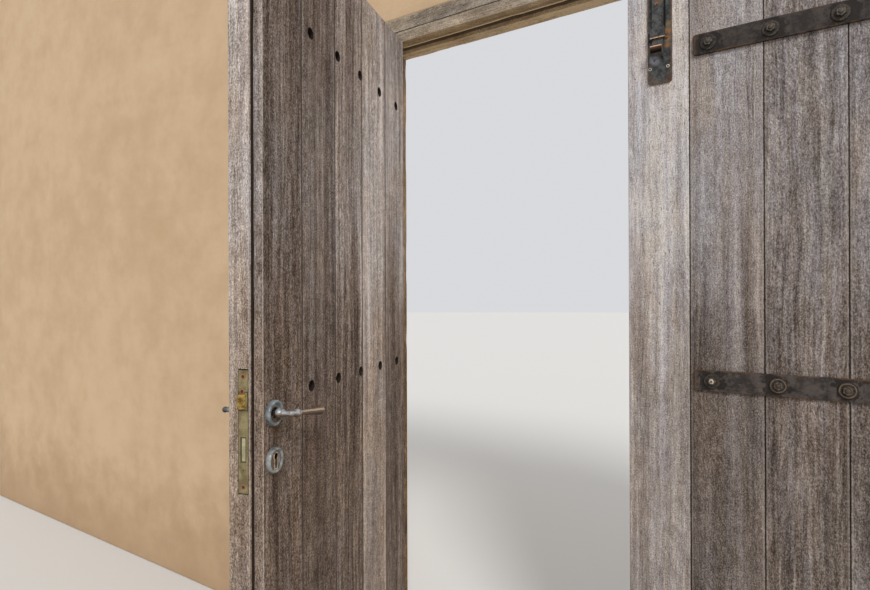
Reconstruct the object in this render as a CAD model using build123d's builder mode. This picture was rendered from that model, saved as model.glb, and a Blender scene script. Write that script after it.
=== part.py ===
# Double-leaf boarded timber garden gate on strap hinges, in a rebated frame, in a rendered garden wall.
# Millimetres. X runs right along the wall, Y into it, Z up. The origin is on the ground in the middle of
# the gateway, in the plane of the frame's front face. The left leaf is modelled shut and then swung open.
import os
from math import cos, radians, sin

from build123d import *

os.makedirs("parts", exist_ok=True)

# Leaves: board widths run from the hinge edge to the meeting edge
left_boards = [144.3, 157.6, 148.9, 148.9, 140.3]
right_boards = [147.9, 157.6, 148.7, 148.2, 137.6]
meeting_lap = 13.0
leaf_height = 1946.0
leaf_foot_gap = 15.0
front_layer = 46.0
back_layer = 21.0
tongue_relief = 5.0
meeting_gap = 5.0
hinge_gap = 5.0
head_gap = 10.0
leaf_proud = 24.0
joint_width = 1.6
joint_depth = 6.0
joint_mouth = 3.4
leaf_arris = 2.0
rest_opening = 74.18

# Frame: an outer lining and an inner member with the rebate
outer_lining = 44.0
inner_face = 34.0
stop_width = 17.0
frame_depth = 92.0
stop_gap = 5.0
frame_chamfer = 3.0
lining_chamfer = 2.0

# Wall and coping
wall_left_run = 2850.0
wall_right_run = 1250.0
wall_height = 3000.0
wall_thickness = 215.0
frame_before_wall = 4.0
coping_thickness = 55.0
coping_fall = 12.0
coping_overhang = 32.0
drip_width = 10.0
drip_inset = 12.0

# Strap hinges
strap_width = 47.0
strap_thickness = 6.0
strap_from_meeting_edge = 147.0
strap_end_inset = 215.0
strap_corner = 6.0
strap_arris = 1.0
eye_wall = 5.8
eye_set_off = 0.2
pin_radius = 7.0
pin_clearance = 0.05
pin_above_eye = 6.0
pintle_height = 22.0
pintle_gap = 1.0
pintle_boss_radius = 11.0
pintle_arm = 14.0
pintle_plate_width = 58.0
pintle_plate_height = 120.0
pintle_plate = 6.0
pintle_from_post_edge = 12.0

# Coach bolts through straps and boards
bolt_count = 5
bolt_from_meeting_edge = 178.7
bolt_from_hinge_edge = 58.9
bolt_radius = 5.0
bolt_clearance = 0.2
washer_radius = 17.5
washer_thickness = 2.5
bolt_head_radius = 10.5
bolt_head_height = 6.0
bolt_head_chamfer = 2.0
counterbore_radius = 12.5
counterbore_depth = 17.0
nut_across_flats = 19.0
nut_height = 7.0
thread_end = 2.5

# Mortice lock in the left leaf's meeting edge
forend_height = 230.0
forend_width = 22.0
forend_thickness = 3.0
forend_from_front = 21.5
lock_height = 929.5
case_depth = 75.0
case_height = 165.0
case_thickness = 16.0
case_clearance = 0.5
backset = 44.0
spindle_above_lock = 29.0
keyhole_drop = 90.0
spindle_side = 8.0
spindle_clearance = 0.3
latch_height = 27.0
latch_thickness = 12.0
latch_above_lock = 56.5
latch_throw = 11.0
latch_tail = 40.0
dead_bolt_height = 42.0
dead_bolt_thickness = 10.0
dead_bolt_below_lock = 33.5
dead_bolt_set_back = 1.0
dead_bolt_tail = 40.0
bolt_running_gap = 0.5
keep_thickness = 2.5
keep_hole_gap = 3.0
keep_pocket_depth = 24.0

# Handles and keyhole plates
rose_radius = 24.6
rose_thickness = 9.0
rose_rim = 7.0
rim_height = 5.4
rose_dish = 4.0
rose_step = 1.0
key_plate_edge = 4.5
key_plate_rim = 7.7
key_plate_thickness = 5.4
handle_stand_off = 40.0
neck_foot_radius = 8.4
neck_bulb_radius = 10.5
neck_bulb_length = 11.0
neck_ring_radius = 7.5
neck_ring_length = 3.0
neck_radius = 6.0
neck_shoulder_radius = 6.8
neck_gap = 0.4
lever_length = 120.0
lever_droop = 7.0
lever_bead_radius = 8.3
lever_bead_width = 9.0
lever_bead_from_neck = 22.0
lever_waist_radius = 3.6
lever_hollow = 0.8
lever_end_radius = 8.0
key_head_radius = 5.0
key_slot_width = 6.0
key_slot_length = 15.0
key_rim_width = 1.6
key_rim_height = 1.2

# Slide bolt on the right leaf and its keeper on the head
plate_from_meeting_edge = 47.3
plate_width = 54.0
plate_length = 277.0
plate_top_drop = 8.0
plate_thickness = 3.0
plate_corner = 7.0
bar_width = 24.5
bar_thickness = 8.0
bar_from_plate_edge = 11.7
bar_above_leaf = 19.0
bar_above_plate_bottom = 58.0
bar_gap = 0.5
bar_nose = 4.0
tab_height = 24.0
tab_reach = 20.0
tab_nose_drop = 2.0
tab_nose = 12.0
tab_below_loop = 21.0
loop_below_plate_top = 15.5
loop_height = 23.0
loop_thickness = 3.5
loop_foot = 9.0
keeper_above_bar = 6.0
keeper_height = 24.0
keeper_wall = 6.0
keeper_clearance = 2.5

# Places worked out from the sizes above
narrow_width = sum(left_boards)
wide_width = narrow_width + meeting_lap
right_narrow_width = sum(right_boards)
leaf_thickness = front_layer + back_layer
opening_width = wide_width + right_narrow_width + meeting_gap + 2 * hinge_gap
post_face = opening_width / 2
left_hinge_edge = -post_face + hinge_gap
right_hinge_edge = post_face - hinge_gap
left_meeting_edge = left_hinge_edge + wide_width
right_meeting_edge = right_hinge_edge - right_narrow_width
leaf_front = -leaf_proud
layer_joint = leaf_front + front_layer
leaf_back = leaf_front + leaf_thickness
stop_face = leaf_back + stop_gap
leaf_bottom = leaf_foot_gap
leaf_top = leaf_bottom + leaf_height
rebate_soffit = leaf_top + head_gap
stop_soffit = rebate_soffit - stop_width
inner_head_top = rebate_soffit + inner_face
frame_top = inner_head_top + outer_lining
inner_post_outside = post_face + inner_face
frame_half = inner_post_outside + outer_lining
wall_front = frame_before_wall
wall_back = wall_front + wall_thickness
wall_left_end = -frame_half - wall_left_run
wall_right_end = frame_half + wall_right_run
eye_radius = pin_radius + eye_wall
pivot_y = leaf_front - eye_radius - eye_set_off
left_pivot = Axis((left_hinge_edge, pivot_y, 0), (0, 0, 1))
strap_heights = [
    leaf_bottom + strap_end_inset,
    (leaf_bottom + leaf_top) / 2,
    leaf_top - strap_end_inset,
]
forend_y = leaf_front + forend_from_front + forend_width / 2
spindle_x = left_meeting_edge - backset
spindle_height = lock_height + spindle_above_lock
keyhole_height = spindle_height - keyhole_drop


def block(x0, x1, y0, y1, z0, z1):
    """A plain member between two corners."""
    with BuildPart() as member:
        with BuildSketch(Plane.XY.offset(z0)):
            with Locations(((x0 + x1) / 2, (y0 + y1) / 2)):
                Rectangle(x1 - x0, y1 - y0)
        extrude(amount=z1 - z0)
    return member


def save(piece, name, swung=False):
    """Labels a finished piece and writes it, swung open with the left leaf where that carries it."""
    part = piece.part
    if swung:
        part = part.rotate(left_pivot, -rest_opening)
    part.label = name
    export_step(part, f"parts/{name}.step")


# Garden wall, beside and over the gateway
wall_left = block(wall_left_end, -frame_half, wall_front, wall_back, 0, wall_height)
save(wall_left, "wall_left")
wall_right = block(frame_half, wall_right_end, wall_front, wall_back, 0, wall_height)
save(wall_right, "wall_right")
wall_over_gate = block(-frame_half, frame_half, wall_front, wall_back, frame_top, wall_height)
save(wall_over_gate, "wall_over_gate")

# Stone coping, weathered to both sides, with a drip under each edge
coping_front = wall_front - coping_overhang
coping_back = wall_back + coping_overhang
coping_middle = (wall_front + wall_back) / 2
coping_top = wall_height + coping_thickness
with BuildPart() as coping:
    with BuildSketch(Plane.YZ.offset(wall_left_end - coping_overhang)):
        with BuildLine():
            Polyline(
                (coping_front, wall_height),
                (coping_back, wall_height),
                (coping_back, coping_top - coping_fall),
                (coping_middle, coping_top),
                (coping_front, coping_top - coping_fall),
                close=True,
            )
        make_face()
        drip_y = drip_inset + drip_width / 2
        with Locations((coping_front + drip_y, wall_height), (coping_back - drip_y, wall_height)):
            Circle(drip_width / 2, mode=Mode.SUBTRACT)
    extrude(amount=wall_right_end - wall_left_end + 2 * coping_overhang)
save(coping, "coping")

# Outer lining of the frame
for side, name in ((-1, "left"), (1, "right")):
    inside = side * inner_post_outside
    outside = side * frame_half
    outer_post = block(min(inside, outside), max(inside, outside), 0, frame_depth, 0, frame_top)
    with outer_post:
        chamfer(edges().filter_by(Axis.Z).group_by(Axis.Y)[0], lining_chamfer)
    save(outer_post, f"{name}_outer_post")
outer_head = block(-inner_post_outside, inner_post_outside, 0, frame_depth, inner_head_top, frame_top)
with outer_head:
    chamfer(edges().filter_by(Axis.X).group_by(Axis.Y)[0], lining_chamfer)
save(outer_head, "outer_head")

# Inner posts and head with the rebate that the leaves shut into
for side, name in ((-1, "left"), (1, "right")):
    with BuildPart() as rebated_post:
        with BuildSketch(Plane.XY):
            with BuildLine():
                Polyline(
                    (side * inner_post_outside, 0),
                    (side * (post_face + frame_chamfer), 0),
                    (side * post_face, frame_chamfer),
                    (side * post_face, stop_face),
                    (side * (post_face - stop_width), stop_face),
                    (side * (post_face - stop_width), frame_depth),
                    (side * inner_post_outside, frame_depth),
                    close=True,
                )
            make_face()
        extrude(amount=inner_head_top)
    save(rebated_post, f"{name}_rebated_post")

with BuildPart() as rebated_head:
    with BuildSketch(Plane.YZ.offset(-post_face)):
        with BuildLine():
            Polyline(
                (0, inner_head_top),
                (0, rebate_soffit + frame_chamfer),
                (frame_chamfer, rebate_soffit),
                (stop_face, rebate_soffit),
                (stop_face, inner_head_top),
                close=True,
            )
        make_face()
    extrude(amount=2 * post_face)
    with BuildSketch(Plane.YZ.offset(-post_face + stop_width)):
        with Locations(((stop_face + frame_depth) / 2, (stop_soffit + inner_head_top) / 2)):
            Rectangle(frame_depth - stop_face, inner_head_top - stop_soffit)
    extrude(amount=2 * (post_face - stop_width))
save(rebated_head, "rebated_head")


def bolt_places(hinge_edge, direction, boards):
    """Where the coach bolts go through a leaf, spaced evenly along its straps."""
    first = sum(boards) - bolt_from_meeting_edge
    pitch = (first - bolt_from_hinge_edge) / (bolt_count - 1)
    return [
        (hinge_edge + direction * (first - pitch * i), height)
        for height in strap_heights
        for i in range(bolt_count)
    ]


def boarding(hinge_edge, direction, boards, extra, y0, y1, face_y, counterbored):
    """One layer of upright boards, jointed and drilled, from a hinge edge towards the meeting edge."""
    width = sum(boards) + extra
    free_edge = hinge_edge + direction * width
    centres = bolt_places(hinge_edge, direction, boards)
    with BuildPart() as layer:
        with BuildSketch(Plane.XY.offset(leaf_bottom)):
            with Locations(((hinge_edge + free_edge) / 2, (y0 + y1) / 2)):
                Rectangle(width, y1 - y0)
            chamfer([v for v in vertices() if abs(v.Y - face_y) < leaf_arris], leaf_arris)
            reach = 0
            for board in boards[:-1]:
                reach += board
                with Locations((hinge_edge + direction * reach, face_y)):
                    Rectangle(joint_width, 2 * joint_depth, mode=Mode.SUBTRACT)
                    Rectangle(joint_mouth / 2**0.5, joint_mouth / 2**0.5, rotation=45, mode=Mode.SUBTRACT)
        extrude(amount=leaf_height)
        with BuildSketch(Plane.XZ.offset(-y1)):
            with Locations(centres):
                Circle(bolt_radius + bolt_clearance)
        extrude(amount=y1 - y0, mode=Mode.SUBTRACT)
        if counterbored:
            with BuildSketch(Plane.XZ.offset(-y1)):
                with Locations(centres):
                    Circle(counterbore_radius)
            extrude(amount=counterbore_depth, mode=Mode.SUBTRACT)
    return layer


def cut_box(x0, x1, y0, y1, z0, z1):
    """Takes a box out of the piece that is being built."""
    with BuildSketch(Plane.XY.offset(z0)) as pocket:
        with Locations(((x0 + x1) / 2, (y0 + y1) / 2)):
            Rectangle(x1 - x0, y1 - y0)
    extrude(pocket.sketch, amount=z1 - z0, mode=Mode.SUBTRACT)


def cut_keyhole(from_y, to_y):
    """A keyhole through the piece that is being built, round at the top and slotted below."""
    with BuildSketch(Plane.XZ.offset(-to_y)) as keyhole:
        with Locations((spindle_x, keyhole_height + key_slot_length / 4)):
            Circle(key_head_radius)
        with Locations((spindle_x, keyhole_height - key_slot_length / 4)):
            Rectangle(key_slot_width, key_slot_length)
    extrude(keyhole.sketch, amount=to_y - from_y, mode=Mode.SUBTRACT)


def cut_spindle_hole(from_y, to_y, radius):
    """A round hole for the spindle through the piece that is being built."""
    with BuildSketch(Plane.XZ.offset(-to_y)) as hole:
        with Locations((spindle_x, spindle_height)):
            Circle(radius)
    extrude(hole.sketch, amount=to_y - from_y, mode=Mode.SUBTRACT)


# Left leaf, front layer: takes the mortice for the lock
forend_bottom = lock_height - forend_height / 2
forend_top = lock_height + forend_height / 2
case_bottom = lock_height - case_height / 2
case_top = lock_height + case_height / 2
case_front = forend_y - case_thickness / 2
case_back = forend_y + case_thickness / 2
forend_inside = left_meeting_edge - forend_thickness
case_inside = forend_inside - case_depth
spindle_hole_radius = spindle_side / 2 * 2**0.5 + spindle_clearance

left_front = boarding(
    left_hinge_edge, 1, left_boards, meeting_lap, leaf_front, layer_joint, leaf_front, False
)
with left_front:
    cut_box(
        forend_inside,
        left_meeting_edge,
        forend_y - forend_width / 2,
        forend_y + forend_width / 2,
        forend_bottom,
        forend_top,
    )
    cut_box(
        case_inside - case_clearance,
        forend_inside,
        case_front - case_clearance,
        case_back + case_clearance,
        case_bottom - case_clearance,
        case_top + case_clearance,
    )
    cut_spindle_hole(leaf_front, layer_joint, spindle_hole_radius)
    cut_keyhole(leaf_front, layer_joint)
save(left_front, "left_leaf_front_boards", swung=True)

left_back = boarding(
    left_hinge_edge, 1, left_boards, 0, layer_joint, leaf_back, leaf_back, True
)
with left_back:
    cut_spindle_hole(layer_joint, leaf_back, spindle_hole_radius)
    cut_keyhole(layer_joint, leaf_back)
save(left_back, "left_leaf_back_boards", swung=True)

# Right leaf, front layer: takes the pockets behind the lock's keep
keep_inside = right_meeting_edge + keep_thickness
latch_bottom = lock_height + latch_above_lock - latch_height / 2
latch_top = latch_bottom + latch_height
dead_bolt_bottom = lock_height - dead_bolt_below_lock - dead_bolt_height / 2
dead_bolt_top = dead_bolt_bottom + dead_bolt_height
latch_front = forend_y - latch_thickness / 2
latch_back = forend_y + latch_thickness / 2
dead_bolt_front = forend_y - dead_bolt_thickness / 2
dead_bolt_back = forend_y + dead_bolt_thickness / 2


def cut_keep_holes(x0, x1):
    cut_box(
        x0,
        x1,
        latch_front - keep_hole_gap,
        latch_back + keep_hole_gap,
        latch_bottom - keep_hole_gap,
        latch_top + keep_hole_gap,
    )
    cut_box(
        x0,
        x1,
        dead_bolt_front - keep_hole_gap,
        dead_bolt_back + keep_hole_gap,
        dead_bolt_bottom - keep_hole_gap,
        dead_bolt_top + keep_hole_gap,
    )


right_front = boarding(
    right_hinge_edge, -1, right_boards, 0, leaf_front, layer_joint, leaf_front, False
)
with right_front:
    cut_box(
        right_meeting_edge,
        keep_inside,
        forend_y - forend_width / 2,
        forend_y + forend_width / 2,
        forend_bottom,
        forend_top,
    )
    cut_keep_holes(keep_inside, keep_inside + keep_pocket_depth)
save(right_front, "right_leaf_front_boards")

right_back = boarding(
    right_hinge_edge, -1, right_boards, meeting_lap, layer_joint, leaf_back, leaf_back, True
)
with right_back:
    cut_box(
        right_meeting_edge - meeting_lap,
        right_meeting_edge,
        layer_joint,
        layer_joint + tongue_relief,
        leaf_bottom,
        leaf_top,
    )
save(right_back, "right_leaf_back_boards")

# Strap hinges with rolled eyes
bolt_hole_radius = bolt_radius + bolt_clearance
strap_front = leaf_front - strap_thickness
places = ("bottom", "middle", "top")
for side, name, hinge_edge, boards in (
    (1, "left", left_hinge_edge, left_boards),
    (-1, "right", right_hinge_edge, right_boards),
):
    strap_length = sum(boards) - strap_from_meeting_edge
    centres = bolt_places(hinge_edge, side, boards)
    for place, height in zip(places, strap_heights):
        with BuildPart() as strap:
            with BuildSketch(Plane.XZ.offset(-leaf_front)):
                with Locations((hinge_edge + side * strap_length / 2, height)):
                    Rectangle(strap_length, strap_width)
                tip = [v for v in vertices() if abs(v.X - hinge_edge) > strap_length / 2]
                fillet(tip, strap_corner)
                with Locations([centre for centre in centres if centre[1] == height]):
                    Circle(bolt_hole_radius, mode=Mode.SUBTRACT)
            extrude(amount=strap_thickness)
            front_face = faces().filter_by(Axis.Y).sort_by(Axis.Y)[0]
            chamfer(front_face.outer_wire().edges(), strap_arris)
            with BuildSketch(Plane.XY.offset(height - strap_width / 2)):
                with Locations((hinge_edge, pivot_y)):
                    Circle(eye_radius)
            extrude(amount=strap_width)
            with BuildSketch(Plane.XY.offset(height - strap_width / 2)):
                with Locations((hinge_edge, pivot_y)):
                    Circle(pin_radius + pin_clearance)
            extrude(amount=strap_width, mode=Mode.SUBTRACT)
        save(strap, f"{name}_strap_{place}", swung=name == "left")

        # Pintle: a pin on a boss, carried by an arm from a plate on the post
        boss_top = height - strap_width / 2 - pintle_gap
        boss_bottom = boss_top - pintle_height
        plate_inner = side * -1 * (post_face + pintle_from_post_edge)
        plate_outer = plate_inner - side * pintle_plate_width
        with BuildPart() as pintle:
            with BuildSketch(Plane.XY.offset(boss_bottom)):
                with Locations((hinge_edge, pivot_y)):
                    Circle(pintle_boss_radius)
                arm_end = plate_inner - side * pintle_arm
                with Locations(((hinge_edge + arm_end) / 2, pivot_y)):
                    Rectangle(abs(hinge_edge - arm_end), pintle_arm)
                leg_y = (pivot_y - pintle_arm / 2) / 2
                with Locations(((plate_inner + arm_end) / 2, leg_y)):
                    Rectangle(pintle_arm, 2 * abs(leg_y))
            extrude(amount=pintle_height)
            with BuildSketch(Plane.XY.offset(boss_top)):
                with Locations((hinge_edge, pivot_y)):
                    Circle(pin_radius)
            extrude(amount=pintle_gap + strap_width + pin_above_eye)
            with BuildSketch(Plane.XZ):
                middle = (boss_bottom + boss_top) / 2
                with Locations(((plate_inner + plate_outer) / 2, middle)):
                    RectangleRounded(pintle_plate_width, pintle_plate_height, strap_corner)
            extrude(amount=pintle_plate)
        save(pintle, f"{name}_pintle_{place}")

# Coach bolts: washer, nut and thread end in front, round head sunk in the counterbore behind
washer_front = strap_front - washer_thickness
nut_front = washer_front - nut_height
head_seat = leaf_back - counterbore_depth
head_crown = head_seat + bolt_head_height


def discs(centres, radius, y0, y1):
    """Round bodies on the leaf at each centre, between two depths."""
    with BuildSketch(Plane.XZ.offset(-y1)) as outline:
        with Locations(centres):
            Circle(radius)
    extrude(outline.sketch, amount=y1 - y0)


for side, name, hinge_edge, boards in (
    (1, "left", left_hinge_edge, left_boards),
    (-1, "right", right_hinge_edge, right_boards),
):
    centres = bolt_places(hinge_edge, side, boards)
    with BuildPart() as bolts:
        discs(centres, bolt_head_radius, head_seat, head_crown)
        crowns = faces().filter_by(Axis.Y).group_by(Axis.Y)[-1].edges()
        chamfer(crowns, bolt_head_chamfer)
        discs(centres, bolt_radius, nut_front - thread_end, head_seat)
        discs(centres, washer_radius, washer_front, strap_front)
        with BuildSketch(Plane.XZ.offset(-washer_front)):
            with Locations(centres):
                RegularPolygon(nut_across_flats / 2, 6, major_radius=False)
        extrude(amount=nut_height)
    save(bolts, f"{name}_leaf_bolts", swung=name == "left")

# Lock case with its forend, open for the two bolts, the spindle and the key
with BuildPart() as lock:
    with BuildSketch(Plane.XY.offset(case_bottom)):
        with Locations(((case_inside + forend_inside) / 2, forend_y)):
            Rectangle(case_depth, case_thickness)
    extrude(amount=case_height)
    with BuildSketch(Plane.YZ.offset(forend_inside)):
        with Locations((forend_y, lock_height)):
            Rectangle(forend_width, forend_height)
    extrude(amount=forend_thickness)
    cut_box(
        forend_inside - latch_tail - latch_throw - bolt_running_gap,
        left_meeting_edge,
        latch_front - bolt_running_gap,
        latch_back + bolt_running_gap,
        latch_bottom - bolt_running_gap,
        latch_top + bolt_running_gap,
    )
    cut_box(
        forend_inside - dead_bolt_tail - bolt_running_gap,
        left_meeting_edge,
        dead_bolt_front - bolt_running_gap,
        dead_bolt_back + bolt_running_gap,
        dead_bolt_bottom - bolt_running_gap,
        dead_bolt_top + bolt_running_gap,
    )
    cut_spindle_hole(case_front, case_back, spindle_hole_radius)
    cut_keyhole(case_front, case_back)
save(lock, "lock_case", swung=True)

with BuildPart() as latch_bolt:
    with BuildSketch(Plane.XY.offset(latch_bottom)):
        with BuildLine():
            Polyline(
                (forend_inside - latch_tail, latch_front),
                (left_meeting_edge + latch_throw, latch_front),
                (left_meeting_edge + latch_throw, latch_front + latch_thickness / 5),
                (left_meeting_edge, latch_back),
                (forend_inside - latch_tail, latch_back),
                close=True,
            )
        make_face()
    extrude(amount=latch_height)
save(latch_bolt, "latch_bolt", swung=True)

with BuildPart() as dead_bolt:
    with BuildSketch(Plane.XY.offset(dead_bolt_bottom)):
        tail = forend_inside - dead_bolt_tail
        nose = left_meeting_edge - dead_bolt_set_back
        with Locations(((tail + nose) / 2, forend_y)):
            Rectangle(nose - tail, dead_bolt_thickness)
    extrude(amount=dead_bolt_height)
save(dead_bolt, "dead_bolt", swung=True)

# Keep plate in the right leaf's meeting edge
with BuildPart() as keep_plate:
    with BuildSketch(Plane.YZ.offset(right_meeting_edge)):
        with Locations((forend_y, lock_height)):
            Rectangle(forend_width, forend_height)
    extrude(amount=keep_thickness)
    cut_keep_holes(right_meeting_edge, keep_inside)
save(keep_plate, "lock_keep")

# Spindle
with BuildPart() as spindle:
    spindle_front = leaf_front - rose_thickness - neck_gap
    spindle_back = leaf_back + rose_thickness + neck_gap
    with BuildSketch(Plane.XZ.offset(-spindle_back)):
        with Locations((spindle_x, spindle_height)):
            Rectangle(spindle_side, spindle_side)
    extrude(amount=spindle_back - spindle_front)
save(spindle, "spindle", swung=True)

# Roses, keyhole plates and lever handles, on both faces
slant = cos(radians(45))
droop = radians(lever_droop)
rose_bore = neck_bulb_radius + neck_gap
rim_middle = rose_radius - rose_rim / 2
rim_inside = rose_radius - rose_rim
for face, name, outward in ((leaf_front, "front", -1), (leaf_back, "back", 1)):
    rose_axis = Axis((spindle_x, 0, spindle_height), (0, 1, 0))
    rim_foot = face + outward * rim_height
    with BuildPart() as rose:
        with BuildSketch(Plane(origin=(spindle_x, 0, spindle_height), x_dir=(1, 0, 0), z_dir=(0, 0, 1))):
            with BuildLine():
                Polyline((rose_bore, face), (rose_radius, face), (rose_radius, rim_foot))
                ThreePointArc(
                    (rose_radius, rim_foot),
                    (rim_middle, face + outward * rose_thickness),
                    (rim_inside, rim_foot),
                )
                Polyline(
                    (rim_inside, rim_foot),
                    (rim_inside - rose_step, face + outward * rose_dish),
                    (rose_bore, face + outward * rose_dish),
                    (rose_bore, face),
                )
            make_face()
        revolve(axis=rose_axis)
    save(rose, f"{name}_rose", swung=True)

    plate_face = face + outward * key_plate_thickness
    with BuildPart() as keyhole_plate:
        with BuildSketch(Plane(origin=(spindle_x, 0, keyhole_height), x_dir=(1, 0, 0), z_dir=(0, 0, 1))):
            with BuildLine():
                Polyline((0, face), (rose_radius, face), (rose_radius, face + outward * key_plate_edge))
                ThreePointArc(
                    (rose_radius, face + outward * key_plate_edge),
                    (rim_middle, face + outward * key_plate_rim),
                    (rim_inside, plate_face),
                )
                Polyline((rim_inside, plate_face), (0, plate_face), (0, face))
            make_face()
        revolve(axis=Axis((spindle_x, 0, keyhole_height), (0, 1, 0)))
        with BuildSketch(Plane.XZ.offset(-plate_face)) as raised_rim:
            with Locations((spindle_x, keyhole_height + key_slot_length / 4)):
                Circle(key_head_radius + key_rim_width)
            with Locations((spindle_x, keyhole_height - key_slot_length / 4)):
                Rectangle(key_slot_width + 2 * key_rim_width, key_slot_length + 2 * key_rim_width)
        extrude(raised_rim.sketch, amount=-outward * key_rim_height)
        low, high = sorted((face, face + outward * key_plate_rim))
        cut_keyhole(low, high)
    save(keyhole_plate, f"{name}_keyhole_plate", swung=True)

    # Handle: a turned neck with bulb and ring, and a drooping lever that swells to its end
    lever_y = face + outward * handle_stand_off
    neck_base = face + outward * (rose_thickness + neck_gap)
    bulb_y = neck_base + outward * neck_bulb_length / 2
    ring_y = neck_base + outward * neck_bulb_length
    ring_end = ring_y + outward * neck_ring_length
    lever_axis = Axis((spindle_x, lever_y, spindle_height), (-cos(droop), 0, -sin(droop)))
    lever_plane = Plane(
        origin=(spindle_x, lever_y, spindle_height), x_dir=lever_axis.direction, z_dir=(0, 1, 0)
    )
    with BuildPart() as handle:
        with BuildSketch(Plane(origin=(spindle_x, 0, spindle_height), x_dir=(1, 0, 0), z_dir=(0, 0, 1))):
            with BuildLine():
                Polyline((0, neck_base), (neck_foot_radius, neck_base))
                ThreePointArc(
                    (neck_foot_radius, neck_base),
                    (neck_bulb_radius, bulb_y),
                    (neck_radius, ring_y),
                )
                Polyline(
                    (neck_radius, ring_y),
                    (neck_ring_radius, ring_y),
                    (neck_ring_radius, ring_end),
                    (neck_radius, ring_end),
                    (neck_shoulder_radius, lever_y),
                )
                ThreePointArc(
                    (neck_shoulder_radius, lever_y),
                    (neck_shoulder_radius * slant, lever_y + outward * neck_shoulder_radius * slant),
                    (0, lever_y + outward * neck_shoulder_radius),
                )
                Line((0, lever_y + outward * neck_shoulder_radius), (0, neck_base))
            make_face()
        revolve(axis=rose_axis)
        with BuildSketch(lever_plane):
            with BuildLine():
                bead_start = lever_bead_from_neck - lever_bead_width / 2
                bead_end = bead_start + lever_bead_width
                swell_end = lever_length - lever_end_radius
                mid_radius = (lever_waist_radius + lever_end_radius) / 2
                Polyline((0, 0), (0, neck_radius), (bead_start, neck_radius))
                ThreePointArc(
                    (bead_start, neck_radius),
                    ((bead_start + bead_end) / 2, lever_bead_radius),
                    (bead_end, lever_waist_radius),
                )
                ThreePointArc(
                    (bead_end, lever_waist_radius),
                    ((bead_end + swell_end) / 2, mid_radius - lever_hollow),
                    (swell_end, lever_end_radius),
                )
                ThreePointArc(
                    (swell_end, lever_end_radius),
                    (swell_end + lever_end_radius * slant, lever_end_radius * slant),
                    (lever_length, 0),
                )
                Line((lever_length, 0), (0, 0))
            make_face()
        revolve(axis=lever_axis)
    save(handle, f"{name}_handle", swung=True)

# Slide bolt: back plate with its two guide loops
plate_left = right_meeting_edge + plate_from_meeting_edge
plate_right = plate_left + plate_width
plate_top = leaf_top - plate_top_drop
plate_bottom = plate_top - plate_length
plate_front = leaf_front - plate_thickness
bar_left = plate_left + bar_from_plate_edge
bar_right = bar_left + bar_width
bar_back = plate_front - bar_gap
bar_front = bar_back - bar_thickness
loop_inside = bar_front - bar_gap
loop_front = loop_inside - loop_thickness
bar_bottom = plate_bottom + bar_above_plate_bottom
bar_top = leaf_top + bar_above_leaf
lower_loop_bottom = bar_bottom + tab_height + tab_below_loop
upper_loop_bottom = plate_top - loop_below_plate_top - loop_height
keeper_bottom = bar_top + keeper_above_bar
with BuildPart() as bolt_plate:
    with BuildSketch(Plane.XZ.offset(-leaf_front)):
        with Locations(((plate_left + plate_right) / 2, (plate_bottom + plate_top) / 2)):
            RectangleRounded(plate_width, plate_top - plate_bottom, plate_corner)
    extrude(amount=plate_thickness)
    for loop_bottom in (lower_loop_bottom, upper_loop_bottom):
        with BuildSketch(Plane.XY.offset(loop_bottom)):
            with BuildLine():
                Polyline(
                    (bar_left - bar_gap - loop_foot, plate_front),
                    (bar_left - bar_gap, plate_front),
                    (bar_left - bar_gap, loop_inside),
                    (bar_right + bar_gap, loop_inside),
                    (bar_right + bar_gap, plate_front),
                    (bar_right + bar_gap + loop_foot, plate_front),
                    (bar_right + bar_gap + loop_foot, plate_front - loop_thickness),
                    (bar_right + bar_gap + loop_thickness, plate_front - loop_thickness),
                    (bar_right + bar_gap + loop_thickness, loop_front),
                    (bar_left - bar_gap - loop_thickness, loop_front),
                    (bar_left - bar_gap - loop_thickness, plate_front - loop_thickness),
                    (bar_left - bar_gap - loop_foot, plate_front - loop_thickness),
                    close=True,
                )
            make_face()
        extrude(amount=loop_height)
save(bolt_plate, "slide_bolt_plate")

# Slide bolt: flat bar with its lower end turned out as a finger tab
nose_top = bar_bottom + tab_height - tab_nose_drop
with BuildPart() as slide_bar:
    with BuildSketch(Plane.YZ.offset(bar_left)):
        with BuildLine():
            Polyline(
                (bar_back, bar_bottom),
                (bar_back, bar_top),
                (bar_front, bar_top),
                (bar_front, bar_bottom + tab_height),
                (bar_front - tab_reach, nose_top),
                (bar_front - tab_reach, nose_top - tab_nose),
                (bar_front, bar_bottom),
                close=True,
            )
        make_face()
    extrude(amount=bar_width)
    chamfer(faces().sort_by(Axis.Z)[-1].edges().filter_by(Axis.Y), bar_nose)
save(slide_bar, "slide_bolt_bar")

# Keeper on the head, which the bar slides up into
with BuildPart() as keeper:
    keeper_left = bar_left - keeper_clearance - keeper_wall
    keeper_right = bar_right + keeper_clearance + keeper_wall
    keeper_front = bar_front - keeper_clearance - keeper_wall
    with BuildSketch(Plane.XY.offset(keeper_bottom)):
        with Locations(((keeper_left + keeper_right) / 2, keeper_front / 2)):
            Rectangle(keeper_right - keeper_left, -keeper_front)
        with Locations(((bar_left + bar_right) / 2, (bar_front + bar_back) / 2)):
            Rectangle(
                bar_width + 2 * keeper_clearance,
                bar_thickness + 2 * keeper_clearance,
                mode=Mode.SUBTRACT,
            )
    extrude(amount=keeper_height)
save(keeper, "slide_bolt_keeper")
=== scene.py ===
import math
import random

import bmesh
import bpy
from mathutils import Matrix, Vector, noise


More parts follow.
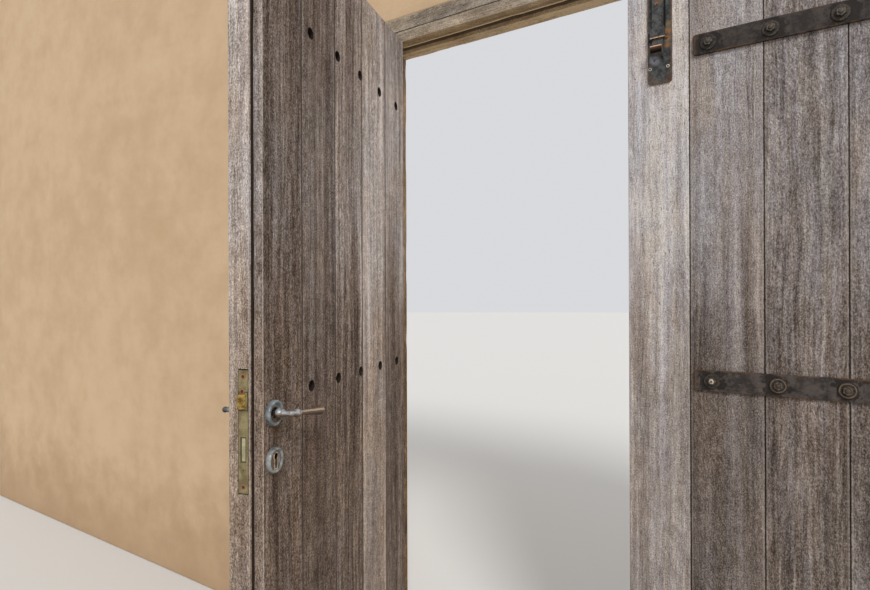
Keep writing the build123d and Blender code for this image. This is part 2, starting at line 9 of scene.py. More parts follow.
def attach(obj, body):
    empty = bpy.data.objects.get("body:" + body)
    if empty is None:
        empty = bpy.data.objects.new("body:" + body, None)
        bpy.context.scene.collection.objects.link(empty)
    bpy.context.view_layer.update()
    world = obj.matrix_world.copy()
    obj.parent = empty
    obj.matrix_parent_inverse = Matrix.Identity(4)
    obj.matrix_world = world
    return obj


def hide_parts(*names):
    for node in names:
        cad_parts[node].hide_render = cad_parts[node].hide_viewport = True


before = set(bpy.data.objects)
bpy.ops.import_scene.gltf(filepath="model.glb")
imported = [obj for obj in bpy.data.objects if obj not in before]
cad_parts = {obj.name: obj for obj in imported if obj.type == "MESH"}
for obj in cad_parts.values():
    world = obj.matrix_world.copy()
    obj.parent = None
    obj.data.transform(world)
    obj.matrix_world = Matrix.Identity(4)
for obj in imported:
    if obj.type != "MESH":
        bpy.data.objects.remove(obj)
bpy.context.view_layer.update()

print("frame loaded")

# the left leaf stands open: its pieces are made shut and then swung by this turn
swing = {"pivot": Vector((-0.749, -0.037, 0.0)), "angle": math.radians(74.18)}
leafTurn = (
    Matrix.Translation(swing["pivot"])
    @ Matrix.Rotation(-swing["angle"], 4, "Z")
    @ Matrix.Translation(-swing["pivot"])
)


def rgb(red, green, blue):
    # a colour given 0 to 255, as the linear one that Blender works in
    parts = [c / 255 for c in (red, green, blue)]
    return (*[p / 12.92 if p < 0.0405 else ((p + 0.055) / 1.055) ** 2.4 for p in parts], 1.0)


def shades(*colours):
    # a ramp's stops at even steps from dark to light, its two ends first
    stops = [(i / (len(colours) - 1), rgb(*colour)) for i, colour in enumerate(colours)]
    return [stops[0], stops[-1], *stops[1:-1]]


class Wire:
    # one socket, so that maths on it reads as plain Python
    def __init__(self, graph, socket):
        self.graph = graph
        self.socket = socket

    def __add__(self, other):
        return self.graph.maths("ADD", self, other)

    def __radd__(self, other):
        return self.graph.maths("ADD", other, self)

    def __sub__(self, other):
        return self.graph.maths("SUBTRACT", self, other)

    def __rsub__(self, other):
        return self.graph.maths("SUBTRACT", other, self)

    def __mul__(self, other):
        return self.graph.maths("MULTIPLY", self, other)

    def __rmul__(self, other):
        return self.graph.maths("MULTIPLY", other, self)

    def __pow__(self, other):
        return self.graph.maths("POWER", self, other)

    def __abs__(self):
        return self.graph.maths("ABSOLUTE", self)

    def __getitem__(self, name):
        return Wire(self.graph, self.socket.node.outputs[name])


class Graph:
    # makes and links the nodes of one material or geometry tree
    def __init__(self, tree):
        self.tree = tree
        tree.nodes.clear()

    def node(self, kind, settings=None, sockets=None):
        made = self.tree.nodes.new(kind)
        for name, value in (settings or {}).items():
            if name == "stops":
                ramp = made.color_ramp.elements
                for i, (place, colour) in enumerate(value):
                    stop = ramp[i] if i < 2 else ramp.new(place)
                    stop.position = place
                    stop.color = colour
            else:
                setattr(made, name, value)
        for key, value in (sockets or {}).items():
            if isinstance(key, int):
                socket = made.inputs[key]
            else:
                socket = next(s for s in made.inputs if s.enabled and key in (s.name, s.identifier))
            if isinstance(value, Wire):
                self.tree.links.new(value.socket, socket)
            else:
                socket.default_value = value
        outputs = [s for s in made.outputs if s.enabled]
        return Wire(self, outputs[0]) if outputs else None

    def maths(self, operation, *values):
        return self.node("ShaderNodeMath", {"operation": operation}, dict(enumerate(values)))

    def vector(self, operation, first, second):
        return self.node("ShaderNodeVectorMath", {"operation": operation}, {0: first, 1: second})

    def place(self, leaf="", grain="Z"):
        # object coordinates, in the shut leaf's own frame and with the grain along Z
        point = self.node("ShaderNodeTexCoord")["Object"]
        if leaf == "left":
            point = self.turned(point, (0, 0, swing["angle"]), leafTurn.inverted().to_translation())
        if grain == "X":
            point = self.turned(point, (0, math.pi / 2, 0))
        return point

    def turned(self, point, rotation, shift=(0, 0, 0)):
        sockets = {"Vector": point, "Location": shift, "Rotation": rotation}
        return self.node("ShaderNodeMapping", {}, sockets)

    def stretch(self, point, across, along):
        return self.vector("MULTIPLY", point, (across, across, along))

    def move(self, point, x=0.0, y=0.0, z=0.0):
        return self.vector("ADD", point, self.node("ShaderNodeCombineXYZ", {}, {"X": x, "Y": y, "Z": z}))

    def axes(self, point):
        split = self.node("ShaderNodeSeparateXYZ", {}, {"Vector": point})
        return split["X"], split["Y"], split["Z"]

    def cloud(self, point, scale=1.0, detail=3.0, rough=0.55):
        sockets = {"Vector": point, "Scale": scale, "Detail": detail, "Roughness": rough}
        return self.node("ShaderNodeTexNoise", {}, sockets)

    def grain(self, point, across, along, detail, rough=0.55):
        return self.cloud(self.stretch(point, across, along), 1.0, detail, rough)

    def step(self, value, low, high, start=0.0, end=1.0):
        sockets = {"Value": value, "From Min": low, "From Max": high, "To Min": start, "To Max": end}
        return self.node("ShaderNodeMapRange", {"interpolation_type": "SMOOTHSTEP"}, sockets)

    def fade(self, value, low, high, start=1.0):
        return self.step(value, low, high, start, 0.0)

    def least(self, first, second):
        return self.maths("MINIMUM", first, second)

    def fromNearest(self, value, pitch):
        # how far a value is from the nearest whole number of pitches
        return self.maths("PINGPONG", value, pitch / 2)

    def held(self, value):
        return self.node("ShaderNodeClamp", {}, {"Value": value})

    def blend(self, factor, first, second, mode="MIX"):
        sockets = {"Factor_Float": factor, "A_Color": first, "B_Color": second}
        return self.node("ShaderNodeMix", {"data_type": "RGBA", "blend_type": mode}, sockets)

    def tint(self, factor, colour, by):
        return self.blend(factor, colour, by, "MULTIPLY")

    def attribute(self, name):
        return self.node("ShaderNodeAttribute", {"attribute_name": name})["Fac"]

    def outline(self, point, box, width):
        # 1 along the edge of an upright rectangle in the Y and Z of the leaf's edge
        midY, midZ, halfY, halfZ = box
        _, y, z = self.axes(point)
        reach = abs(self.maths("MAXIMUM", abs(y - midY) - halfY, abs(z - midZ) - halfZ))
        return self.fade(reach, width * 0.4, width)

    def spotted(self, colour, point, grit, spots):
        # each spot has a centre, a radius, a soft ragged edge, a strength and a colour
        for at, radius, soft, amount, shade in spots:
            gap = self.vector("DISTANCE", point, at)["Value"] + (grit - 0.5) * soft * 2
            colour = self.blend(self.fade(gap, radius - soft, radius + soft, amount), colour, shade)
        return colour

    def surface(self, colour, roughness, height, depth, metallic=0.0, specular=0.3):
        bump = self.node("ShaderNodeBump", {}, {"Strength": 1.0, "Distance": depth, "Height": height})
        skin = {
            "Base Color": colour, "Roughness": roughness, "Metallic": metallic,
            "Specular IOR Level": specular, "Normal": bump,
        }
        shader = self.node("ShaderNodeBsdfPrincipled", {}, skin)
        self.node("ShaderNodeOutputMaterial", {}, {"Surface": shader})


def material(name):
    made = bpy.data.materials.new(name)
    made.use_nodes = True
    return made, Graph(made.node_tree)


# Weathered timber: bands, ribs, mottling, specks, pores and checks along the grain
def timber(name, look, leaf="", grain="Z"):
    made, g = material(name)
    upright = g.place(leaf, grain)
    shift = g.attribute("shift")
    point = g.move(upright, shift, shift, shift)
    drift = g.grain(point, 4.0, 1.5, 2.0)
    wave = g.grain(point, 14.0, 7.0, 2.0)
    bent = g.move(point, (drift - 0.5) * look["bend"] + (wave - 0.5) * look["wave"])
    bands = g.grain(bent, 34.0, 1.3, 2.0)
    ribs = g.grain(bent, 86.0, 2.6, 2.0, 0.6)
    streaks = g.grain(bent, 190.0, 9.0, 3.0, 0.6)
    mottle = g.grain(bent, *look["mottleGrain"], 3.0, 0.9)
    speck = g.grain(bent, 430.0, 270.0, 1.0, 0.8)
    fibres = g.grain(bent, 620.0, 46.0, 2.0, 0.6)
    rings = g.fromNearest(g.grain(bent, 16.0, 0.8, 1.0) * look["ringCount"], 1.0)
    blotch = g.grain(point, 15.0, 9.0, 4.0, 0.66)
    figure = g.grain(g.turned(bent, (0, look["slant"], 0)), 210.0, 52.0, 2.0, 0.6)
    figured = g.step(g.grain(point, 8.0, 2.4, 2.0), 0.44, 0.60)
    height = g.axes(g.place(leaf))[2] + (bands - 0.5) * 0.6
    low = g.fade(height, look["paleFrom"], look["paleTo"])
    stripes = (1.0 - low) * look["topStripes"] + 1.0
    ribbed = g.attribute("ribbed")
    value = (
        g.attribute("tone")
        + (bands - 0.5) * stripes * look["bands"]
        + (ribs - 0.5) * stripes * ribbed * look["ribs"]
        + (streaks - 0.5) * ribbed * look["streaks"]
        + (rings - 0.25) * look["rings"]
        + (mottle - 0.5) * look["mottle"]
        + (speck - 0.5) * look["speck"]
        + (fibres - 0.5) * look["fibres"]
        + (blotch - 0.5) * look["blotch"]
        + (figure - 0.5) * figured * look["figure"]
        - low * g.attribute("foot") * look["lowDark"]
    )
    colour = g.node("ShaderNodeValToRGB", {"stops": look["shades"]}, {"Fac": value})
    colour = g.tint(g.step(g.grain(point, 9.0, 4.0, 4.0, 0.6), 0.38, 0.62), colour, look["warm"])
    hue = g.cloud(g.move(g.stretch(bent, 72.0, 2.4), 5.0), detail=3.0, rough=0.6)
    colour = g.tint(g.fade(hue, 0.40, 0.58), colour, look["cool"])
    # darker and warmer towards the bottom; the stronger warmth given to the left leaf is painted warm
    # reflected light
    colour = g.tint(low, colour, look["lowTint"])
    colour = g.tint(g.attribute("fresh"), colour, look["fresh"])
    pores = g.step(g.grain(bent, 330.0, 72.0, 1.0), 0.67, 0.74)
    checked = g.step(g.grain(point, 11.0, 3.0, 1.0), 0.58, 0.72)
    check = g.fade(abs(g.grain(bent, 40.0, 1.1, 4.0) - 0.5), 0.0, look["checkWidth"]) * checked
    colour = g.blend(pores * look["pores"] + check * look["checks"], colour, look["dark"])
    colour = g.spotted(colour, upright, mottle, look["stains"])
    arris = g.attribute("arris")
    rubbed = g.step(arris + (speck - 0.5) * 0.9, 0.55, 0.95, 0.0, look["arris"])
    splinter = g.step(arris + (streaks - 0.5) * 0.9, 1.25, 1.55)
    if look["boards"]:
        across = g.axes(upright)[0]
        edge = g.least(across - g.attribute("low"), g.attribute("high") - across)
        edge = edge + (speck - 0.5) * 0.0016
        rubbed = rubbed * g.step(edge, 0.004, 0.006)
        # a pale band in the worn colour just beside each joint: painted highlight along the rounded arris
        beside = g.step(edge, 0.0018, 0.0030) * g.fade(edge, 0.0032, 0.0060, look["beside"])
        colour = g.blend(beside, colour, look["worn"])
        groove = g.fade(edge, *look["groove"], look["dirt"])
    else:
        # darker along the corners marked -1: joints, and painted shade in the rebated head's groove and on
        # its riser
        groove = g.fade(arris + (speck - 0.5) * 0.5, -0.75, -0.3, look["dirt"])
    colour = g.blend(rubbed, colour, look["worn"])
    colour = g.blend(splinter, colour, look["splinter"])
    colour = g.blend(groove, colour, look["dark"])
    # a very low tone turns near black: painted shade on the faces between the layers, in the counterbores and
    # in the head's groove
    colour = g.blend(g.fade(g.attribute("tone"), -0.45, -0.10, 0.9), colour, look["deep"])
    relief = mottle * 0.6 + speck * 0.4 + fibres * 0.3 + streaks * 0.6 + blotch * 0.3
    relief = relief - check * 1.3 - pores * 0.5
    g.surface(colour, g.step(speck, 0.3, 0.7, 0.92, 0.78), relief, look["relief"], specular=0.2)
    return made


rightLook = {
    "boards": True, "bend": 0.035, "wave": 0.007, "bands": 0.56, "ribs": 0.40, "topStripes": -0.2,
    "streaks": 0.34, "rings": 0.16, "ringCount": 16.0, "mottle": 0.42, "mottleGrain": (58.0, 34.0),
    "speck": 0.88, "fibres": 0.50, "blotch": 0.32, "figure": 0.45, "slant": math.radians(27),
    "shades": shades((50, 42, 37), (92, 83, 77), (130, 122, 118), (168, 161, 157), (208, 203, 199)),
    "warm": (1.03, 0.97, 0.91, 1), "cool": (0.93, 0.95, 1.02, 1), "fresh": (1.04, 0.88, 0.66, 1),
    "lowTint": (1.0, 0.955, 0.90, 1), "lowDark": 0.17, "paleFrom": 0.92, "paleTo": 1.42,
    "dark": rgb(58, 48, 42), "deep": rgb(20, 16, 13), "worn": rgb(176, 166, 156),
    "splinter": rgb(250, 226, 182), "pores": 0.5, "checks": 0.55, "checkWidth": 0.008, "dirt": 0.75,
    "groove": (0.0006, 0.0018), "beside": 0.22, "arris": 0.35, "stains": [], "relief": 0.0011,
}
# the left leaf: its warmer tint low down is painted warm reflected light
leftLook = dict(
    rightLook, ribs=0.50, bands=0.50, topStripes=0.35, streaks=0.44, mottle=0.62, mottleGrain=(50.0, 32.0),
    speck=1.1, groove=(0.0016, 0.0032), dirt=0.92, beside=0.08, lowTint=(1.0, 0.93, 0.84, 1),
    shades=shades((50, 39, 31), (92, 79, 70), (130, 119, 111), (168, 157, 149), (208, 200, 192)),
    stains=[
        ((-0.046, 0.043, 0.928), 0.016, 0.012, 0.6, rgb(84, 60, 36)),
        ((-0.052, 0.043, 0.843), 0.008, 0.008, 0.5, rgb(84, 60, 36)),
    ],
)
frameLook = dict(
    rightLook, boards=False, bands=0.35, topStripes=0.0, blotch=0.85, relief=0.0016, lowDark=0.14,
    lowTint=(1.0, 0.93, 0.84, 1), worn=rgb(184, 166, 138), arris=0.6,
    shades=shades((50, 40, 31), (92, 80, 68), (132, 120, 104), (168, 156, 138), (206, 196, 178)),
)
leafTimber = {
    "left": timber("leftLeafTimber", leftLook, "left"),
    "right": timber("rightLeafTimber", rightLook),
}
frameTimber = {"Z": timber("postTimber", frameLook), "X": timber("headTimber", frameLook, grain="X")}


# Forged iron: slate and black scale, rust in patches and broken along the edges
def ironBase(g, point, look):
    broad = g.cloud(point, 34.0, 4.0, 0.62)
    scale = g.cloud(point, 150.0, 4.0, 0.7)
    patch = broad + (scale - 0.5) * 0.6
    colour = g.blend(g.step(patch, 0.36, 0.66), look["black"], look["slate"])
    scratch = g.step(g.grain(point, 50.0, 270.0, 2.0), 0.64, 0.74)
    colour = g.blend(scratch * look["scratches"], colour, look["bloom"])
    pitted = g.step(g.cloud(point, 95.0, 1.0), 0.67, 0.71)
    colour = g.blend(pitted * look["pits"], colour, look["smear"])
    rust = g.step(patch, look["rustFrom"], look["rustFrom"] + 0.16) * look["rust"]
    return colour, rust, broad, scale


def ironSurface(g, colour, look, point, scale):
    rough = g.step(scale, 0.3, 0.7, *look["rough"])
    height = g.cloud(point, 420.0, 3.0, 0.6) * 0.6 + scale * look["grit"]
    g.surface(colour, rough, height, 0.0006, look["metallic"], look["specular"])


strapRows = {
    "half": 0.0235, "first": 0.230, "pitch": 0.758, "firstBolt": 0.1877, "boltPitch": 0.1256, "tip": 0.156,
}


def strapIron(name, look, leaf, way):
    made, g = material(name)
    point = g.place(leaf)
    colour, rust, broad, scale = ironBase(g, point, look)
    x, _, z = g.axes(point)
    along = x * way
    rise = g.fromNearest(z - strapRows["first"], strapRows["pitch"])
    fromBolt = g.fromNearest(along - strapRows["firstBolt"], strapRows["boltPitch"])
    reach = (fromBolt ** 2.0 + rise ** 2.0) ** 0.5
    # a dark ring round each bolt's washer: grime, with painted shade where the washer sits on the strap
    smear = g.fade(reach + (broad - 0.5) * 0.10 + (scale - 0.5) * 0.03, 0.022, 0.030, 0.85)
    # the top strap darker all over
    colour = g.blend(g.step(z, 1.3, 1.5, 0.0, 0.35), colour, look["smear"])
    colour = g.blend(smear, colour, look["smear"])
    edge = strapRows["half"] - rise + (scale - 0.5) * 0.005
    broken = g.step(g.cloud(point, 55.0, 3.0), 0.40, 0.60)
    tip = along - strapRows["tip"] + (scale - 0.5) * 0.02
    rust = rust + g.fade(edge, 0.0004, 0.0034, 0.85) * broken + g.fade(tip, 0.001, 0.010, 0.5)
    ironSurface(g, g.blend(g.held(rust), colour, look["rustColour"]), look, point, scale)
    return made


def plainBlack(name, look):
    made, g = material(name)
    point = g.place()
    colour, rust, _, scale = ironBase(g, point, look)
    ironSurface(g, g.blend(g.held(rust), colour, look["rustColour"]), look, point, scale)
    return made


ironLook = {
    "rust": 0.5, "rustFrom": 0.62, "rustColour": rgb(92, 66, 42), "black": rgb(50, 44, 41),
    "slate": rgb(80, 72, 67), "bloom": rgb(112, 110, 106), "smear": rgb(36, 31, 28),
    "scratches": 0.35, "pits": 0.55, "metallic": 0.2, "rough": (0.50, 0.74), "grit": 0.8, "specular": 0.2,
}
leftIron = strapIron("leftStrapIron", ironLook, "left", -1.0)
rightIron = strapIron("rightStrapIron", ironLook, "", 1.0)
plainIron = plainBlack("blackIron", dict(ironLook, rustFrom=0.57))


# the slide bolt's plate, loops and bar, with the rust and scuffs of its use; painted shadows beside the bar;
# the tab's front in painted shade, its lip worn bare with a painted highlight
slide = {
    "left": 0.0563, "right": 0.1103, "foot": 1.676,
    "loopEdge": 1.7795, "loopFront": -0.0365, "tabEdge": 1.7553, "tabFront": -0.0500,
    "shadows": [(0.0946, 0.0024), (0.0668, 0.0014)], "shadowFoot": 1.797, "shadowFront": -0.0352,
}
slideLook = dict(
    ironLook, black=rgb(50, 50, 49), slate=rgb(86, 88, 87), bloom=rgb(122, 126, 128), scratches=0.2,
    rust=0.7, rustFrom=0.56, rustColour=rgb(104, 74, 48), rough=(0.44, 0.70), grit=0.9, specular=0.15,
    shadow=rgb(16, 13, 11), tabUnder=rgb(18, 13, 9), tabTop=rgb(88, 56, 28), hem=rgb(196, 160, 126),
    lipRust=rgb(196, 124, 72), lipBare=rgb(206, 178, 160),
    spots=[
        ((0.100, -0.027, 1.762), 0.006, 0.004, 0.8, rgb(138, 100, 62)),
        ((0.100, -0.027, 1.778), 0.007, 0.004, 0.8, rgb(140, 104, 66)),
        ((0.101, -0.027, 1.795), 0.007, 0.004, 0.8, rgb(142, 106, 70)),
        ((0.102, -0.027, 1.812), 0.006, 0.005, 0.6, rgb(134, 108, 76)),
        ((0.073, -0.027, 1.734), 0.012, 0.005, 0.9, rgb(148, 149, 158)),
        # two black dots: a painted hole, its dark a painted shade
        ((0.0712, -0.027, 1.7375), 0.0022, 0.0006, 0.95, rgb(12, 10, 10)),
        ((0.0708, -0.027, 1.7310), 0.0016, 0.0006, 0.95, rgb(12, 10, 10)),
        ((0.103, -0.027, 1.688), 0.007, 0.005, 0.6, rgb(86, 62, 48)),
        ((0.063, -0.027, 1.690), 0.005, 0.005, 0.6, rgb(84, 58, 44)),
        ((0.078, -0.0355, 1.861), 0.0034, 0.0012, 0.9, rgb(150, 96, 66)),
        ((0.079, -0.0355, 1.8585), 0.0022, 0.0008, 0.95, rgb(66, 28, 18)),
    ],
)


def slideIronFinish(name, look):
    made, g = material(name)
    point = g.place()
    colour, rust, _, scale = ironBase(g, point, look)
    x, y, z = g.axes(point)
    edge = g.least(g.least(x - slide["left"], slide["right"] - x), z - slide["foot"])
    broken = g.step(g.cloud(point, 60.0, 3.0), 0.34, 0.56)
    rust = rust + g.fade(edge + (scale - 0.5) * 0.006, 0.0008, 0.0045, 0.8) * broken
    colour = g.blend(g.held(rust), colour, look["rustColour"])
    colour = g.spotted(colour, point, scale, look["spots"])
    shaded = g.step(z, slide["shadowFoot"], slide["shadowFoot"] + 0.004)
    shaded = shaded * g.step(y, slide["shadowFront"], slide["shadowFront"] + 0.0006)
    for x0, half in slide["shadows"]:
        beside = g.fade(abs(x - x0) + (scale - 0.5) * 0.001, half * 0.6, half, 0.92)
        colour = g.blend(beside * shaded, colour, look["shadow"])
    # the tab's front: rust near its top, near black below as painted shade
    tab = g.fade(y, slide["tabFront"], slide["tabFront"] + 0.001)
    fromLip = z - slide["tabEdge"]
    worn = g.step(fromLip + (scale - 0.5) * 0.008, -0.010, -0.001)
    colour = g.blend(tab, colour, g.blend(worn, look["tabUnder"], look["tabTop"]))
    # the tab's lip: worn bare metal and rust, with a painted highlight
    bareAndSheen = g.blend(g.step(scale, 0.40, 0.56), look["lipRust"], look["lipBare"])
    lip = g.fade(abs(fromLip) + (scale - 0.5) * 0.003, 0.0010, 0.0024, 0.95)
    colour = g.blend(tab * lip, colour, bareAndSheen)
    front = g.fade(y, slide["loopFront"] - 0.0005, slide["loopFront"])
    hem = g.fade(abs(z - slide["loopEdge"] - 0.0010) + (scale - 0.5) * 0.002, 0.0008, 0.0020, 0.9)
    colour = g.blend(front * hem * g.step(scale, 0.40, 0.50, 0.3, 1.0), colour, look["hem"])
    ironSurface(g, colour, look, point, scale)
    return made


slideIron = slideIronFinish("slideBoltIron", slideLook)


# Brass, grey metal and bronze: dull patches, brighter where hands rub, named spots, and dark lines of painted
# shade along the gaps
def metal(name, look):
    made, g = material(name)
    point = g.place("left")
    blotch = g.cloud(point, look["patchScale"], 5.0, 0.6)
    fine = g.cloud(point, 520.0, 3.0, 0.7)
    colour = g.blend(g.step(blotch, 0.34, 0.66), look["dull"], look["bright"])
    colour = g.blend(g.step(fine, 0.42, 0.72) * 0.4, colour, look["speck"])
    colour = g.spotted(colour, point, fine, look["spots"])
    # a dark line along the gaps round the forend and its bolts: painted shade
    for box in look["outlines"]:
        colour = g.blend(g.outline(point, box, 0.0013) * 0.8, colour, look["seam"])
    rough = g.step(blotch, 0.3, 0.7, look["rough"] + 0.12, look["rough"] - 0.06)
    g.surface(colour, rough, fine + blotch, 0.00012, look["metallic"], 0.5)
    return made


brassLook = {
    "patchScale": 45.0, "dull": rgb(112, 99, 68), "bright": rgb(152, 139, 100), "speck": rgb(90, 76, 48),
    "seam": rgb(40, 30, 20), "rough": 0.5, "metallic": 0.45,
    "outlines": [
        (0.0085, 0.9295, 0.011, 0.115), (0.0085, 0.986, 0.0095, 0.0170), (0.0085, 0.896, 0.0052, 0.0230),
    ],
    "spots": [
        # a small dark disc: a painted hole, its dark a painted shade
        ((0.004, 0.0085, 0.858), 0.0014, 0.0005, 0.9, rgb(44, 34, 24)),
        ((0.004, 0.0085, 1.0445), 0.006, 0.004, 0.4, rgb(84, 66, 42)),
    ],
}
brass = metal("tarnishedBrass", brassLook)
latchBrass = metal("goldenBrass", dict(
    brassLook, patchScale=120.0, dull=rgb(96, 70, 26), bright=rgb(176, 146, 74), speck=rgb(56, 40, 18),
    spots=[], outlines=[(0.0085, 0.986, 0.0090, 0.0165)],
))
paleBrass = metal("paleBrass", dict(
    brassLook, dull=rgb(160, 152, 118), bright=rgb(196, 190, 156), spots=[],
    outlines=[(0.0085, 0.896, 0.0048, 0.0225)],
))
greyMetal = metal("greyMetal", {
    "patchScale": 90.0, "dull": rgb(100, 106, 108), "bright": rgb(150, 157, 161), "speck": rgb(84, 80, 74),
    "rough": 0.46, "metallic": 0.5, "outlines": [],
    "spots": [((-0.040, y, 0.954), 0.0165, 0.0025, 0.85, rgb(86, 62, 38)) for y in (-0.027, 0.046)],
})


def render(name, look):
    made, g = material(name)
    point = g.place()
    broad = g.cloud(point, 1.1, 5.0, 0.6)
    mottle = g.cloud(point, 7.0, 5.0, 0.6)
    sand = g.cloud(point, 420.0, 3.0, 0.6)
    trowel = g.grain(point, 14.0, 26.0, 4.0, 0.5)
    colour = g.blend(g.step(broad * 0.5 + mottle * 0.5, 0.36, 0.64), look["deep"], look["pale"])
    colour = g.blend(g.step(sand, 0.45, 0.75) * 0.25, colour, look["grain"])
    # darker towards the foot of the wall
    towardsFoot = g.fade(g.axes(point)[2] + (mottle - 0.5) * 0.35, 0.05, 0.55, 0.5)
    colour = g.blend(towardsFoot, colour, look["foot"])
    g.surface(colour, 0.93, sand * 0.5 + trowel * 0.8 + mottle * 0.5, 0.0020, specular=0.2)
    return made


ochre = render("ochreRender", {
    "deep": rgb(187, 158, 125), "pale": rgb(199, 172, 139), "grain": rgb(150, 122, 92),
    "foot": rgb(150, 122, 92),
})
mortar = render("copingMortar", {
    "deep": rgb(150, 140, 122), "pale": rgb(176, 166, 148), "grain": rgb(104, 98, 88),
    "foot": rgb(140, 132, 120),
})
print("materials made")


roughness = {"drift": 9, "dent": 40, "dentAlong": 22, "dentFrom": 0.2}


def sweep(bm, worn, ring, stations, toSpace, s, seed):
    # closed length of timber: a ring of (across, in, arris) carried past stations, a little uneven
    count = len(ring)
    rows = []
    for along, pinch in stations:
        row = []
        for i, (u, v, arris) in enumerate(ring):
            before, after = ring[i - 1], ring[(i + 1) % count]
            inward = Vector((before[1] - after[1], after[0] - before[0])).normalized()
            broad, fine = roughness["drift"], roughness["dent"]
            drift = 0.5 + 0.5 * noise.noise(Vector((u * broad + seed, v * broad, along * s["swell"])))
            dent = noise.noise(Vector((u * fine, v * fine + seed, along * roughness["dentAlong"])))
            dent = max(0.0, dent - roughness["dentFrom"])
            off = drift * s["uneven"] + dent * s["chip"] * min(max(arris, 0.0), 2.0) + pinch
            vert = bm.verts.new(toSpace(u + inward.x * off, v + inward.y * off, along))
            vert[worn] = arris
            row.append(vert)
        rows.append(row)
    for low, high in zip(rows, rows[1:]):
        for i in range(count):
            bm.faces.new((low[i], low[(i + 1) % count], high[(i + 1) % count], high[i]))
    bm.faces.new(list(reversed(rows[0])))
    bm.faces.new(rows[-1])


def stationsAlong(start, end, spacing, round=0.0012):
    steps = max(4, int((end - start) / spacing))
    inner = [(start + (end - start) * i / steps, 0.0) for i in range(1, steps)]
    return [(start, round), (start + round, 0.0), *inner, (end - round, 0.0), (end, round)]


def boardRing(low, high, depth, lowSide, highSide, s):
    # the visible face first, then the edges and the hidden face
    def side(kind, edge, sign):
        edge = edge - sign * (s["gap"] if kind == "joint" else 0.0)
        r = s["arrisRadius"]
        points = [(edge - sign * (r + away), 0.0, 0.0) for away in (0.012, 0.004, 0.001)]
        for a in (0.0, math.pi / 6, math.pi / 3, math.pi / 2):
            points.append((edge - sign * (r - r * math.sin(a)), r - r * math.cos(a), 1.0))
        points.append((edge, r + 0.001, 0.0))
        if kind == "joint":
            points.append((edge, s["slotDepth"], 0.0))
            points.append((edge + sign * (s["gap"] - 0.00003), s["slotDepth"] + 0.0006, 0.0))
        if kind == "relieved":
            points.append((edge, depth - s["relief"], 0.0))
            points.append((edge - sign * s["lap"], depth - s["relief"], 0.0))
            points.append((edge - sign * s["lap"], depth, 0.0))
        elif kind == "free":
            points.append((edge, depth - r - 0.001, 0.0))
            points.append((edge, depth - r, 1.0))
            points.append((edge - sign * r * 0.3, depth - r * 0.3, 1.0))
            points.append((edge - sign * r, depth, 1.0))
            points.append((edge - sign * s["ledge"], depth, 0.0))
            points.append((edge - sign * s["lap"], depth, 0.0))
        else:
            points.append((points[-1][0], depth, 0.0))
        return points

    right = side(highSide, high, 1)
    left = side(lowSide, low, -1)
    start, end = left[0][0], right[0][0]
    middle = []
    for i in range(1, s["facePoints"]):
        t = i / s["facePoints"]
        middle.append((start + (end - start) * t, s["cup"] * math.sin(math.pi * t), 0.0))
    return middle + right + list(reversed(left))


def linked(name, data):
    made = bpy.data.objects.new(name, data)
    bpy.context.scene.collection.objects.link(made)
    return made


def meshObject(name, bm, transform=None):
    bmesh.ops.recalc_face_normals(bm, faces=bm.faces)
    mesh = bpy.data.meshes.new(name)
    bm.to_mesh(mesh)
    bm.free()
    if transform is not None:
        mesh.transform(transform)
    return linked(name, mesh)


def newTimber():
    bm = bmesh.new()
    return bm, bm.verts.layers.float.new("arris")


def grade(piece, values):
    # gives every face the numbers that its timber is shaded by
    count = len(piece.data.polygons)
    given = [values(face) for face in piece.data.polygons]
    for name in given[0]:
        layer = piece.data.attributes.new(name, "FLOAT", "FACE")
        layer.data.foreach_set("value", [given[i][name] for i in range(count)])


def applied(piece):
    # works the piece's modifier into a plain mesh
    evaluated = piece.evaluated_get(bpy.context.evaluated_depsgraph_get())
    mesh = bpy.data.meshes.new_from_object(evaluated)
    piece.modifiers.clear()
    old = piece.data
    piece.data = mesh
    mesh.name = old.name
    bpy.data.meshes.remove(old)


def carved(piece, cutter):
    # cuts the cutter's holes into the piece
    cut = piece.modifiers.new("holes", "BOOLEAN")
    cut.operation = "DIFFERENCE"
    cut.solver = "EXACT"
    cut.object = cutter
    applied(piece)
    bpy.data.objects.remove(cutter)


def drum(bm, x, z, radius, y0, y1, segments=28):
    place = Matrix.Translation((x, (y0 + y1) / 2, z)) @ Matrix.Rotation(math.pi / 2, 4, "X")
    bmesh.ops.create_cone(
        bm, cap_ends=True, segments=segments, radius1=radius, radius2=radius, depth=y1 - y0, matrix=place
    )


def brick(bm, x0, x1, y0, y1, z0, z1):
    place = Matrix.Translation(((x0 + x1) / 2, (y0 + y1) / 2, (z0 + z1) / 2))
    size = Matrix.Diagonal((x1 - x0, y1 - y0, z1 - z0, 1))
    bmesh.ops.create_cube(bm, size=1.0, matrix=place @ size)


def shadeSmooth(piece, degrees=35):
    piece.data.polygons.foreach_set("use_smooth", [True] * len(piece.data.polygons))
    piece.data.set_sharp_from_angle(angle=math.radians(degrees))


def settle(piece, body, slotName, finish, *nodes):
    piece.data.materials.clear()
    piece.data.materials.append(finish)
    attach(piece, body)
    if nodes:
        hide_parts(*nodes)


